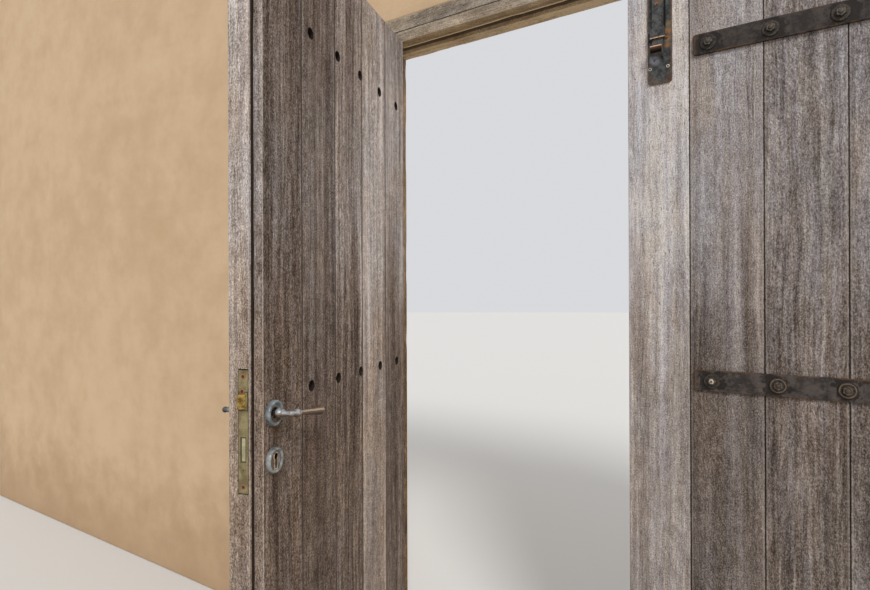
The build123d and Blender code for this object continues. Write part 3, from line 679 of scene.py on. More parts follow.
# Leaves of upright boards in two layers
boards = {
    "gap": 0.0007, "slotDepth": 0.0030, "arrisRadius": 0.0016, "facePoints": 6, "cup": 0.0004,
    "uneven": 0.0005, "swell": 2.0, "chip": 0.0022, "relief": 0.005, "lap": 0.013, "spacing": 0.04,
    "foot": 0.015, "top": 1.961, "front": -0.024, "middle": 0.022, "back": 0.043, "ledge": 0.0060,
    # the hidden and hole tones are dark, for painted shade between the layers and in the counterbores
    "hiddenTone": -0.20, "holeTone": -0.30, "edgeRibs": 0.7, "seedStep": 7.3,
}
leaves = {
    "left": {
        "hinge": -0.749, "direction": 1, "seed": 11, "ledge": 0.001,
        "widths": [0.1443, 0.1576, 0.1489, 0.1489, 0.1403],
        "frontTones": [0.52, 0.47, 0.56, 0.50, 0.70], "backTones": [0.52, 0.68, 0.53, 0.355, 0.33],
        "frontFeet": [1.0, 1.0, 1.0, 1.0, 1.3], "backFeet": [1.5, 0.85, 1.8, 0.65, 0.5],
        "edgeTone": {"front": 0.73, "back": 0.53}, "edgeFoot": {"front": 1.6, "back": 0.5},
        "frontRibs": [1.0, 1.0, 1.0, 1.0, 0.8], "backRibs": [0.8, 0.8, 1.5, 0.8, 1.2],
    },
    "right": {
        "hinge": 0.749, "direction": -1, "seed": 47,
        "widths": [0.1479, 0.1576, 0.1487, 0.1482, 0.1376],
        "frontTones": [0.52, 0.46, 0.46, 0.57, 0.80], "backTones": [0.46, 0.54, 0.42, 0.50, 0.58],
        "frontFeet": [0.8, 0.8, 0.9, 1.65, 1.25], "backFeet": [0.8, 1.0, 0.9, 1.2, 1.0],
        "edgeTone": {"front": 0.62, "back": 0.50}, "edgeFoot": {"front": 1.2, "back": 1.2},
        "frontRibs": [0.9, 0.9, 1.7, 0.6, 1.1], "backRibs": [1.0, 0.8, 1.3, 0.9, 1.0],
    },
}
bolts = {
    "fromMeeting": 0.1787, "pitch": 0.1256, "rows": [0.230, 0.988, 1.746], "counterbore": 0.0125,
    "counterDepth": 0.017, "seat": -0.030,
}
lock = {
    "y": 0.0085, "half": 0.0114, "low": 0.8129, "high": 1.0461,
    "case": (-0.0743, 0.03), "keep": (-0.02, 0.0115), "boltReach": (0.0110, 0.0370),
    "latchPocket": (0.9675, 1.0045, 0.0106), "deadPocket": (0.871, 0.921, 0.009),
    "spindle": (-0.040, 0.9585), "spindleHole": 0.006, "keyhole": (-0.040, 0.8685), "keyholeHole": 0.005,
    "overshoot": 0.01, "inside": 0.004, "holeSides": 16,
}


def boltPlaces(leaf):
    total = sum(leaf["widths"])
    return [
        (leaf["hinge"] + leaf["direction"] * (total - bolts["fromMeeting"] - bolts["pitch"] * i), row)
        for row in bolts["rows"]
        for i in range(5)
    ]


def boardLayer(name, leaf, layer, seed, lapped, relieved):
    bm, worn = newTimber()
    face = boards[layer]
    sign = 1 if layer == "front" else -1
    depth = abs(face - boards["middle"])
    edges = []
    reach = 0.0
    for i, width in enumerate(leaf["widths"]):
        last = i == len(leaf["widths"]) - 1
        a = leaf["hinge"] + leaf["direction"] * reach
        reach += width + (boards["lap"] if last and lapped else 0.0)
        b = leaf["hinge"] + leaf["direction"] * reach
        startKind = "free" if i == 0 else "joint"
        endKind = ("relieved" if relieved else "free") if last else "joint"
        low, high = sorted((a, b))
        kinds = (startKind, endKind) if leaf["direction"] > 0 else (endKind, startKind)
        ring = boardRing(low, high, depth, *kinds, boards)
        stations = stationsAlong(boards["foot"], boards["top"], boards["spacing"])
        boardSeed = seed + i * boards["seedStep"]
        sweep(bm, worn, ring, stations, lambda u, v, w: (u, face + sign * v, w), boards, boardSeed)
        edges.append((low, high))
    return meshObject(name, bm), edges


def gradeBoards(piece, edges, leaf, layer, seed):
    # tone, foot and grain of each board, with no joint dirt along the leaf's own free edges; faces between
    # the layers and inside the counterbores get a dark tone as painted shade
    rolls = random.Random(seed)
    last = len(edges) - 1
    freeLow, freeHigh = (0, last) if leaf["direction"] > 0 else (last, 0)
    given = []
    for i, (low, high) in enumerate(edges):
        given.append({
            "tone": leaf[layer + "Tones"][i],
            "foot": leaf[layer + "Feet"][i],
            "ribbed": leaf[layer + "Ribs"][i],
            "shift": rolls.uniform(0, 9),
            "low": low - 1.0 if i == freeLow else low,
            "high": high + 1.0 if i == freeHigh else high,
        })

    bores = boltPlaces(leaf) if layer == "back" else []

    def values(face):
        x, y, z = face.center
        nearest = min(range(len(edges)), key=lambda i: max(edges[i][0] - x, x - edges[i][1]))
        board = dict(given[nearest])
        between = abs(y - boards["middle"]) < 0.0008
        ledge = leaf["direction"] > 0 and layer == "front" and x > leaf["ledge"] - 0.004
        bored = any(math.hypot(x - a, z - b) < bolts["counterbore"] + 0.0005 for a, b in bores)
        # painted shade inside the counterbores and on the hidden faces between the layers
        if bored and y < boards["back"] - 0.004:
            board.update(tone=boards["holeTone"], foot=0.0)
        elif between and not ledge:
            board.update(tone=boards["hiddenTone"], foot=0.0)
        elif between or abs(face.normal.x) > 0.7:
            board.update(tone=leaf["edgeTone"][layer], foot=leaf["edgeFoot"][layer])
            board.update(ribbed=boards["edgeRibs"])
        return board

    grade(piece, values)


def boreLock(bm, *spans):
    # the spindle's and the keyhole's way through the boards, for each span of depth
    for key in ("spindle", "keyhole"):
        for span in spans:
            drum(bm, *lock[key], lock[key + "Hole"], *span, lock["holeSides"])


def boreBack(back, side):
    holes = bmesh.new()
    beyond = boards["back"] + lock["overshoot"]
    for x, z in boltPlaces(leaves[side]):
        drum(holes, x, z, bolts["counterbore"], boards["back"] - bolts["counterDepth"], beyond)
    if side == "left":
        boreLock(holes, (boards["middle"] - lock["overshoot"], beyond))
    carved(back, meshObject("backHoles", holes))


def boreFront(front, side):
    # first the pocket of the lock's case or keep, then what opens into it
    pocket = bmesh.new()
    x0, x1 = lock["case" if side == "left" else "keep"]
    brick(pocket, x0, x1, lock["y"] - lock["half"], lock["y"] + lock["half"], lock["low"], lock["high"])
    carved(front, meshObject("frontPocket", pocket))
    holes = bmesh.new()
    if side == "left":
        toCase = (boards["front"] - lock["overshoot"], lock["y"])
        fromCase = (lock["y"] + lock["inside"], boards["middle"] + lock["overshoot"])
        boreLock(holes, toCase, fromCase)
    else:
        for low, high, half in (lock["latchPocket"], lock["deadPocket"]):
            brick(holes, *lock["boltReach"], lock["y"] - half, lock["y"] + half, low, high)
    carved(front, meshObject("frontHoles", holes))


for side, leaf in leaves.items():
    seed, right = leaf["seed"], side == "right"
    front, frontEdges = boardLayer(f"{side}FrontBoards", leaf, "front", seed, not right, False)
    back, backEdges = boardLayer(f"{side}BackBoards", leaf, "back", seed + 5, right, right)
    boreBack(back, side)
    boreFront(front, side)
    gradeBoards(front, frontEdges, leaf, "front", seed)
    gradeBoards(back, backEdges, leaf, "back", seed + 1)
    for piece, layer in ((front, "front"), (back, "back")):
        if not right:
            piece.data.transform(leafTurn)
        shadeSmooth(piece)
        settle(piece, f"{side}_leaf", "leaf_timber", leafTimber[side], f"{side}_leaf_{layer}_boards")
print("boards made")


# Frame members: a corner's third number is 1 where it is worn round, 3 where it is splintered, -1 where it is
# darkened: in joints and inner corners, and in the rebated head's groove and on its riser as painted shade
members = {
    "radius": 0.003, "jointRadius": 0.0010, "uneven": 0.0009, "swell": 1.6, "chip": 0.007, "spacing": 0.03,
    "seed": 60, "soffitTone": 0.06, "riserTone": -0.04, "stopTone": 0.28, "grooveTone": -0.25,
    "steps": {-1: (0.0026, 0.007), 0: (0.0045, 0.010), 1: (0.0045, 0.010), 3: (0.0120, 0.0130)},
}


def memberRing(corners):
    area = sum(a[0] * b[1] - b[0] * a[1] for a, b in zip(corners, corners[1:] + corners[:1]))
    corners = corners if area > 0 else corners[::-1]
    ring = []
    for i, (*corner, worn) in enumerate(corners):
        here = Vector(corner)
        there = Vector(corners[(i + 1) % len(corners)][:2])
        before = (Vector(corners[i - 1][:2]) - here).normalized()
        after = (there - here).normalized()
        radius = members["radius"] if worn >= 0 else members["jointRadius"]
        first, last = here + before * radius, here + after * radius
        for t in (0.0, 0.33, 0.67, 1.0):
            p = (1 - t) * (1 - t) * first + 2 * t * (1 - t) * here + t * t * last
            ring.append((p.x, p.y, worn))
        length = (there - here).length
        nextWorn = corners[(i + 1) % len(corners)][2]
        between = -1 if worn < 0 and nextWorn < 0 else 0.0
        for away in members["steps"][worn]:
            if length > 3 * away:
                ring.append((*(here + after * away), between))
        for away in reversed(members["steps"][nextWorn]):
            if length > 3 * away:
                ring.append((*(there - after * away), between))
    return ring


def member(name, corners, start, end, axis, seed):
    bm, worn = newTimber()
    stations = stationsAlong(start, end, members["spacing"], 0.002)
    toSpace = (lambda u, v, w: (u, v, w)) if axis == "Z" else (lambda u, v, w: (w, u, v))
    sweep(bm, worn, memberRing(corners), stations, toSpace, members, seed)
    return meshObject(name, bm)


def rebate(sign):
    corners = [
        (0.788, 0.0, -1), (0.754, 0.0, 1), (0.754, 0.048, -1), (0.737, 0.048, 1), (0.737, 0.092, 1),
        (0.788, 0.092, -1),
    ]
    return [(sign * x, y, worn) for x, y, worn in corners]


def lining(sign):
    return [(sign * 0.832, 0, 0), (sign * 0.788, 0, -1), (sign * 0.788, 0.092, -1), (sign * 0.832, 0.092, 0)]


# the head's groove, toned near black as painted shade
headGroove = {"front": 0.0450, "back": 0.0485, "soffit": 1.972}
outerHead = [(0, 2.005, -1), (0.092, 2.005, -1), (0.092, 2.049, 0), (0, 2.049, 0)]
# the -1 corners in the groove and at 1.9668 on the riser darken them as painted shade
rebatedHead = [
    (0, 1.971, 1), (0.0459, 1.971, 3), (0.0459, 1.979, -1), (0.048, 1.979, -1), (0.048, 1.9668, -1),
    (0.048, 1.954, 0), (0.092, 1.954, 1), (0.092, 2.005, -1), (0, 2.005, -1),
]
frameParts = {
    "left_outer_post": (lining(-1), 0, 2.049, "Z", 0.50),
    "right_outer_post": (lining(1), 0, 2.049, "Z", 0.52),
    "left_rebated_post": (rebate(-1), 0, 2.005, "Z", 0.46),
    "right_rebated_post": (rebate(1), 0, 2.005, "Z", 0.50),
    "outer_head": (outerHead, -0.788, 0.788, "X", 0.60),
    "rebated_head": (rebatedHead, -0.754, 0.754, "X", 0.62),
}


def frameValues(tone, shift, axis):
    # the faces that rain can't reach stay browner than the rest; the head's groove is toned near black as
    # painted shade
    def values(face):
        x, y, z = face.center
        sheltered = (face.normal.z < -0.5 or 0.03 < y < 0.06) if axis == "X" else abs(face.normal.x) > 0.7
        given = {"tone": tone, "shift": shift, "foot": 1.0, "ribbed": 1.0, "fresh": 1.0 if sheltered else 0.0}
        if axis == "X" and sheltered:
            given["tone"] += members["stopTone" if y > 0.05 else "riserTone" if y > 0.047 else "soffitTone"]
            # painted shade: the groove's faces near black
            if headGroove["front"] < y < headGroove["back"] and z > headGroove["soffit"]:
                given["tone"] = members["grooveTone"]
        return given

    return values


for i, (node, (corners, start, end, axis, tone)) in enumerate(frameParts.items()):
    first, *others = node.split("_")
    name = first + "".join(word.capitalize() for word in others)
    piece = member(name, corners, start, end, axis, members["seed"] + i * 5)
    grade(piece, frameValues(tone, i * 1.7, axis))
    shadeSmooth(piece, 50)
    settle(piece, "root", "frame_timber", frameTimber[axis], node)
print("frame made")


# Rendered wall in one skin round the gateway
wall = {
    "left": -3.682, "right": 2.082, "front": 0.004, "back": 0.219, "top": 3.0,
    "gateHalf": 0.832, "gateTop": 2.049, "cell": 0.06, "uneven": 0.0022, "corner": 0.007,
    "waves": 1.7, "across": 9, "ripples": 6.1, "rippleShare": 0.4,
}


def spread(stops, cell):
    made = [stops[0]]
    for low, high in zip(stops, stops[1:]):
        steps = max(1, round((high - low) / cell))
        made += [low + (high - low) * (i + 1) / steps for i in range(steps)]
    return made


def makeWall():
    bm = bmesh.new()
    xs = spread([wall["left"], -wall["gateHalf"], wall["gateHalf"], wall["right"]], wall["cell"])
    zs = spread([0.0, wall["gateTop"], wall["top"]], wall["cell"])
    verts = {}

    def vert(i, j, y):
        if (i, j, y) not in verts:
            verts[i, j, y] = bm.verts.new((xs[i], y, zs[j]))
        return verts[i, j, y]

    def solid(i, j):
        if not (0 <= i < len(xs) - 1 and 0 <= j < len(zs) - 1):
            return False
        x, z = (xs[i] + xs[i + 1]) / 2, (zs[j] + zs[j + 1]) / 2
        return not (abs(x) < wall["gateHalf"] and z < wall["gateTop"])

    for i in range(len(xs) - 1):
        for j in range(len(zs) - 1):
            if not solid(i, j):
                continue
            for y in (wall["front"], wall["back"]):
                bm.faces.new((vert(i, j, y), vert(i + 1, j, y), vert(i + 1, j + 1, y), vert(i, j + 1, y)))
            edges = (
                ((-1, 0), (i, j), (i, j + 1)),
                ((1, 0), (i + 1, j), (i + 1, j + 1)),
                ((0, -1), (i, j), (i + 1, j)),
                ((0, 1), (i, j + 1), (i + 1, j + 1)),
            )
            for (di, dj), a, b in edges:
                if not solid(i + di, j + dj):
                    front, back = wall["front"], wall["back"]
                    bm.faces.new((vert(*a, front), vert(*b, front), vert(*b, back), vert(*a, back)))
    bmesh.ops.recalc_face_normals(bm, faces=bm.faces)
    sharp = [e for e in bm.edges if e.calc_face_angle() > 1.0]
    bmesh.ops.bevel(bm, geom=sharp, offset=wall["corner"], segments=3, profile=0.5, affect="EDGES")
    for v in bm.verts:
        broad = Vector((v.co.x * wall["waves"], v.co.y * wall["across"], v.co.z * wall["waves"]))
        lift = noise.noise(broad) + wall["rippleShare"] * noise.noise(v.co * wall["ripples"])
        inward = 1 if v.co.y < 0.1 else -1
        v.co.y += inward * wall["uneven"] * (0.5 + 0.5 * lift)
    return meshObject("gardenWall", bm)


wallPiece = makeWall()
shadeSmooth(wallPiece, 50)
settle(wallPiece, "root", "ochre_render", ochre, "wall_left", "wall_right", "wall_over_gate")
print("wall made")


# one geometry tree sets a fitting on every point of a row, each turned and toned a little differently
def fittingTree():
    tree = bpy.data.node_groups.new("fittingRow", "GeometryNodeTree")
    for name, kind in (
        ("Geometry", "NodeSocketGeometry"),
        ("Fitting", "NodeSocketObject"),
        ("Spin", "NodeSocketFloat"),
        ("Lean", "NodeSocketFloat"),
        ("Seed", "NodeSocketInt"),
        ("Finish", "NodeSocketMaterial"),
    ):
        tree.interface.new_socket(name, in_out="INPUT", socket_type=kind)
    tree.interface.new_socket("Geometry", in_out="OUTPUT", socket_type="NodeSocketGeometry")
    g = Graph(tree)
    given = g.node("NodeGroupInput")

    def rolled(kind, sockets):
        return g.node("FunctionNodeRandomValue", {"data_type": kind}, dict(sockets, Seed=given["Seed"]))

    def rolledTurn(most, by):
        roll = rolled("FLOAT_VECTOR", {"Min": [-angle for angle in most], "Max": most})
        return g.node("ShaderNodeVectorMath", {"operation": "SCALE"}, {"Vector": roll, "Scale": given[by]})

    fitting = {"Object": given["Fitting"], "As Instance": True}
    shape = g.node("GeometryNodeObjectInfo", {}, fitting)["Geometry"]
    points = g.node("GeometryNodeMeshToPoints", {}, {"Mesh": given["Geometry"]})
    turned = g.vector("ADD", rolledTurn((1, 0, 1), "Lean"), rolledTurn((0, 1, 0), "Spin"))
    onPoints = {"Points": points, "Instance": shape, "Rotation": turned}
    wear = {
        "Geometry": g.node("GeometryNodeInstanceOnPoints", {}, onPoints), "Name": "wear",
        "Value": rolled("FLOAT", {}),
    }
    toned = g.node("GeometryNodeStoreNamedAttribute", {"data_type": "FLOAT", "domain": "INSTANCE"}, wear)
    real = g.node("GeometryNodeRealizeInstances", {}, {"Geometry": toned})
    done = g.node("GeometryNodeSetMaterial", {}, {"Geometry": real, "Material": given["Finish"]})
    g.node("NodeGroupOutput", {}, {"Geometry": done})
    return tree


fittings = fittingTree()


def fitRow(name, places, fitting, s, finish, body, slotName, nodes=(), swung=False):
    mesh = bpy.data.meshes.new(name)
    mesh.from_pydata(places, [], [])
    piece = linked(name, mesh)
    row = piece.modifiers.new("row", "NODES")
    row.node_group = fittings
    given = {"Fitting": fitting, "Spin": s["spin"], "Lean": s["lean"], "Seed": s["seed"], "Finish": finish}
    for socket in fittings.interface.items_tree:
        if socket.in_out == "INPUT" and socket.name in given:
            row[socket.identifier] = given[socket.name]
    applied(piece)
    if swung:
        piece.data.transform(leafTurn)
    shadeSmooth(piece, 40)
    settle(piece, body, slotName, finish, *nodes)


def lathe(bm, profile, segments=24, ripple=0.0, seed=0.0):
    # turned about Y: profile is (radius, y) from the axis out and back to the axis
    radial = bm.verts.layers.float.get("fromAxis") or bm.verts.layers.float.new("fromAxis")
    rise = bm.verts.layers.float.get("rise") or bm.verts.layers.float.new("rise")
    rings = []
    for radius, y in profile:
        ring = []
        for k in range(segments if radius > 1e-6 else 1):
            a = 2 * math.pi * k / segments
            r = radius * (1 + ripple * noise.noise(Vector((math.cos(a), math.sin(a), seed))))
            vert = bm.verts.new((r * math.cos(a), y, r * math.sin(a)))
            vert[radial] = radius
            vert[rise] = -y
            ring.append(vert)
        rings.append(ring)
    for low, high in zip(rings, rings[1:]):
        for k in range(segments):
            corners = []
            for ring, step in ((low, k), (low, k + 1), (high, k + 1), (high, k)):
                v = ring[step % len(ring)]
                if v not in corners:
                    corners.append(v)
            if len(corners) > 2:
                bm.faces.new(corners)


# a coach bolt's washer, nut and thread end; its domed head sits in the counterbore behind
nutShape = {
    "washer": 0.0172, "washerThick": 0.0025, "across": 0.0168, "nutHigh": 0.007, "chamfer": 0.0012,
    "thread": 0.0042, "threadEnd": 0.0025,
}


def nutFitting():
    s = nutShape
    bm = bmesh.new()
    w, t = s["washer"], s["washerThick"]
    lathe(bm, [(0, 0), (w, 0), (w, -t * 0.6), (w - 0.0008, -t), (0.012, -t), (0, -t)], 32, 0.03, 3.0)
    corner = s["across"] / math.sqrt(3)
    y0, y1 = -t + 0.0002, -t - s["nutHigh"]
    edge, flat = y1 + s["chamfer"], corner * 0.88
    lathe(bm, [(0, y0), (corner, y0), (corner, edge), (flat, y1), (0.0046, y1), (0, y1)], 6)
    top = y1 - s["threadEnd"]
    r = s["thread"]
    lathe(bm, [(0, -t), (r, -t), (r, top + 0.0008), (r - 0.001, top), (0, top)], 20)
    return meshObject("nutFitting", bm)


headProfile = [(0, 0), (0.0105, 0), (0.0105, 0.003), (0.0085, 0.005), (0.005, 0.006), (0, 0.006)]


def headFitting():
    bm = bmesh.new()
    lathe(bm, headProfile, 20)
    return meshObject("headFitting", bm)


def screwFitting(radius, proud, turn=0.0):
    # a countersunk screw, its head a little dished towards the driver's hole
    bm = bmesh.new()
    profile = [(0, 0.0005), (radius, 0.0005), (radius, -proud * 0.5), (radius * 0.86, -proud),
               (radius * 0.42, -proud * 0.9), (radius * 0.34, -0.0001), (0, -0.0001)]
    lathe(bm, profile, 20)
    return meshObject("screwFitting", bm, Matrix.Rotation(math.radians(turn), 4, "Z"))


boltLook = {
    "black": rgb(36, 31, 28), "worn": rgb(66, 60, 55), "rust": rgb(92, 66, 44), "rim": rgb(132, 106, 76),
    "rimAt": 0.0139, "creviceAt": 0.0046, "ringAt": 0.0048,
    "flats": (rgb(46, 42, 38), rgb(96, 92, 84)), "crevice": rgb(30, 25, 22),
    "rustyEnd": (rgb(66, 36, 26), rgb(112, 86, 62)), "topEnd": rgb(88, 74, 62),
    "brightEnd": (rgb(112, 78, 60), rgb(214, 200, 180)), "ring": rgb(206, 192, 172),
}


def boltIron(name, leaf, look):
    # dark scale with a rusty washer rim; each thread end its own tone from rust to bright, the bright ones
    # bare metal with a painted highlight; a dark ring at the thread's foot is painted shade
    made, g = material(name)
    point = g.place(leaf)
    wear = g.attribute("wear")
    radius, rise = g.attribute("fromAxis"), g.attribute("rise")
    scale = g.cloud(point, 260.0, 4.0, 0.65)
    blotch = g.cloud(point, 90.0, 4.0, 0.6)
    colour = g.blend(g.step(scale, 0.35, 0.65), look["black"], look["worn"])
    colour = g.blend(g.step(blotch + wear * 0.2, 0.66, 0.84) * 0.5, colour, look["rust"])
    x, _, z = g.axes(point)
    upper = g.step(z, 1.3, 1.5)
    ragged = radius + (scale - 0.5) * 0.0014
    rim = g.fade(abs(ragged - look["rimAt"]), 0.0004, 0.0012) * g.step(blotch, 0.34, 0.50, 0.35, 0.8)
    rim = rim * (1.0 - upper * 0.75) * g.step(abs(x), 0.21, 0.25, 0.1, 1.0)
    colour = g.blend(rim, colour, look["rim"])
    nutTop = g.step(rise, 0.0082, 0.0092)
    colour = g.blend(nutTop * 0.85, colour, g.blend(g.step(scale, 0.35, 0.62), *look["flats"]))
    # painted shade in the crevice round the foot of the thread
    crevice = g.fade(abs(radius - look["creviceAt"]), 0.0003, 0.0009, 0.8) * g.step(rise, 0.0090, 0.0094)
    colour = g.blend(crevice, colour, look["crevice"])
    rusty = g.blend(upper * 0.8, g.blend(wear, *look["rustyEnd"]), look["topEnd"])
    # bright ends: bare metal and a painted highlight, with a pale ring round them
    bareAndSheen = g.blend(g.step(radius + (scale - 0.5) * 0.001, 0.0024, 0.0034), *look["brightEnd"])
    bright = g.step(wear + (blotch - 0.5) * 0.3, 0.64, 0.74) * (1.0 - upper)
    ring = g.fade(abs(ragged - look["ringAt"]), 0.0006, 0.0012) * nutTop * bright
    colour = g.blend(ring, colour, look["ring"])
    colour = g.blend(g.step(rise, 0.0100, 0.0106) * 0.95, colour, g.blend(bright, rusty, bareAndSheen))
    g.surface(colour, 0.6, scale + blotch, 0.0004, 0.3, 0.25)
    return made


def screwFinish(name, leaf, look):
    made, g = material(name)
    point = g.place(leaf)
    radius = g.attribute("fromAxis")
    grit = g.cloud(point, 300.0, 3.0, 0.65)
    head = g.blend(g.step(grit, 0.36, 0.62), look["head"], look["rub"])
    ragged = radius + (grit - 0.5) * look["ragged"]
    colour = g.blend(g.step(ragged, look["rim"] - 0.0003, look["rim"] + 0.0003), head, look["halo"])
    # the driver's hole near black: painted shade in the recess
    slot = g.fade(radius, look["hole"] - 0.0002, look["hole"] + 0.0003, 0.95)
    colour = g.blend(slot, colour, look["slot"])
    g.surface(colour, 0.5, grit, 0.0002, look["metallic"], 0.4)
    return made


boltRows = {"spin": 3.1, "lean": 0.02, "seed": 172}
# the right leaf's nuts were not set out quite evenly: metres along the strap, by place in the rows
nutNudges = {"left": {}, "right": {5: 0.0050, 6: 0.0066, 7: 0.0010, 11: -0.0043, 12: -0.0080}}
nut, head = nutFitting(), headFitting()
for side, leaf in leaves.items():
    centres = boltPlaces(leaf)
    nutPlaces = [(x + nutNudges[side].get(i, 0.0), bolts["seat"], z) for i, (x, z) in enumerate(centres)]
    headPlaces = [(x, boards["back"] - bolts["counterDepth"], z) for x, z in centres]
    finish = boltIron(f"{side}BoltIron", side, boltLook)
    common = (boltRows, finish, f"{side}_leaf", "wrought_iron")
    fitRow(f"{side}Nuts", nutPlaces, nut, *common, (f"{side}_leaf_bolts",), side == "left")
    fitRow(f"{side}BoltHeads", headPlaces, head, *common, (), side == "left")
for template in (nut, head):
    bpy.data.objects.remove(template)
print("bolts made")


# Small screws: name, body, slot, head's radius, height and turn, look, leaf, places
screwRow = {"spin": 3.1, "lean": 0.04, "seed": 21}
rustedScrew = {
    "head": rgb(58, 40, 44), "rub": rgb(84, 58, 54), "halo": rgb(158, 96, 52), "slot": rgb(34, 24, 26),
    "rim": 0.0034, "hole": 0.0012, "ragged": 0.0014, "metallic": 0.2,
}
brightScrew = {
    "head": rgb(206, 200, 186), "rub": rgb(176, 166, 148), "halo": rgb(120, 108, 92), "slot": rgb(26, 22, 22),
    "rim": 0.0037, "hole": 0.0021, "ragged": 0.0006, "metallic": 0.3,
}
blackScrew = {
    "head": rgb(52, 47, 44), "rub": rgb(84, 78, 72), "halo": rgb(92, 66, 42), "slot": rgb(24, 20, 18),
    "rim": 0.0052, "hole": 0.0018, "ragged": 0.0014, "metallic": 0.3,
}
pintlePlaces = [
    (sign * 0.803, -0.006, row + rise)
    for sign in (-1, 1)
    for row in bolts["rows"]
    for rise in (-0.0795, -0.0355, 0.0085)
]
screws = [
    ("forendScrews", "left_leaf", "grey_metal", (0.0048, 0.0006, 90), rustedScrew, "left",
     [(0.0040, 0.0085, 1.0317), (0.0040, 0.0062, 1.0042), (0.0040, 0.0085, 0.8271)]),
    ("slidePlateScrews", "right_leaf", "wrought_iron", (0.0042, 0.0008, 0), brightScrew, "",
     [(0.0615, -0.0270, 1.7130), (0.1012, -0.0270, 1.7130), (0.0615, -0.0270, 1.9420),
      (0.1050, -0.0270, 1.9420)]),
    ("keepScrews", "right_leaf", "grey_metal", (0.0040, 0.0006, -90), rustedScrew, "",
     [(0.0090, 0.0085, 1.0340), (0.0090, 0.0085, 0.8250)]),
    ("pintleScrews", "root", "wrought_iron", (0.0060, 0.0016, 0), blackScrew, "", pintlePlaces),
]
for name, body, slotName, shape, look, leaf, places in screws:
    template = screwFitting(*shape)
    finish = screwFinish(name + "Finish", leaf, look)
    settings = dict(screwRow, spin=0.0) if shape[2] else screwRow
    fitRow(name, places, template, settings, finish, body, slotName, (), leaf == "left")
    bpy.data.objects.remove(template)
print("screws made")


# Keyhole plates: a dished round plate with a raised rim round the keyhole
keyPlate = {
    "radius": 0.0246, "edge": 0.0058, "rim": 0.0096, "rimInside": 0.0180, "dish": 0.0062, "lift": 0.0014,
    "headUp": 0.0076, "headRadius": 0.0060, "slotHalf": 0.0031, "slotFoot": -0.0152, "rimWidth": 0.0022,
    "floor": 0.0012, "arcSteps": 18,
}


def keyholeLine(grow):
    s = keyPlate
    radius, half = s["headRadius"] + grow, s["slotHalf"] + grow
    start = math.asin(half / radius)
    line = [(-half, s["slotFoot"] - grow)]
    for k in range(s["arcSteps"] + 1):
        a = -math.pi / 2 - start - (2 * math.pi - 2 * start) * k / s["arcSteps"]
        line.append((radius * math.cos(a), s["headUp"] + radius * math.sin(a)))
    return line + [(half, s["slotFoot"] - grow)]


def inKeyhole(u, w, grow):
    s = keyPlate
    head = math.hypot(u, w - s["headUp"]) < s["headRadius"] + grow
    return head or (abs(u) < s["slotHalf"] + grow and s["slotFoot"] - grow < w < s["headUp"])


def keyPlatePiece(name, face, outward):
    s = keyPlate
    bm = bmesh.new()
    r = s["radius"]
    lathe(bm, [(0, 0), (r, 0), (r, -s["edge"]), (r - 0.0010, -0.0082), (r - 0.0032, -s["rim"]),
               (s["rimInside"] + 0.0010, -0.0084), (s["rimInside"], -s["dish"]), (0, -s["dish"])], 48)
    plate = meshObject(name, bm)
    bm = bmesh.new()
    near = [bm.verts.new((u, -s["floor"], w)) for u, w in keyholeLine(0.0)]
    far = [bm.verts.new((u, -0.02, w)) for u, w in keyholeLine(0.0)]
    for k in range(len(near)):
        n = (k + 1) % len(near)
        bm.faces.new((near[k], near[n], far[n], far[k]))
    bm.faces.new(near)
    bm.faces.new(far)
    carved(plate, meshObject("keyholeCut", bm))
    bm = bmesh.new()
    bm.from_mesh(plate.data)
    top, foot = -s["dish"] - s["lift"], -s["dish"] + 0.0003
    loops = []
    for share, y in ((0.0, foot), (0.2, top + 0.0003), (0.5, top), (0.8, top + 0.0003), (1.0, foot)):
        loops.append([bm.verts.new((u, y, w)) for u, w in keyholeLine(s["rimWidth"] * share)])
    for i, loop in enumerate(loops):
        other = loops[(i + 1) % len(loops)]
        for k in range(len(loop)):
            n = (k + 1) % len(loop)
            bm.faces.new((loop[k], loop[n], other[n], other[k]))
    bmesh.ops.recalc_face_normals(bm, faces=bm.faces)
    bm.to_mesh(plate.data)
    bm.free()

    def values(face):
        u, y, w = face.center
        if inKeyhole(u, w, s["rimWidth"] + 0.0001) and y < -s["dish"] - 0.0001:
            return {"part": 1.0}
        # faces in the keyhole itself, set near black in the finish as painted shade
        return {"part": 2.0 if inKeyhole(u, w, 0.0001) else 0.0}

    grade(plate, values)
    turn = Matrix.Identity(4) if outward < 0 else Matrix.Rotation(math.pi, 4, "Z")
    x, z = lock["keyhole"]
    plate.data.transform(leafTurn @ Matrix.Translation((x, face, z)) @ turn)
    shadeSmooth(plate, 40)
    return plate


keyLook = {
    "dull": rgb(106, 108, 107), "bright": rgb(156, 157, 155), "speck": rgb(88, 82, 74),
    "lineAt": 0.0172, "line": rgb(58, 46, 36), "dirt": rgb(92, 72, 54), "inside": rgb(26, 20, 15),
    "rim": (rgb(140, 116, 90), rgb(196, 174, 146)),
}


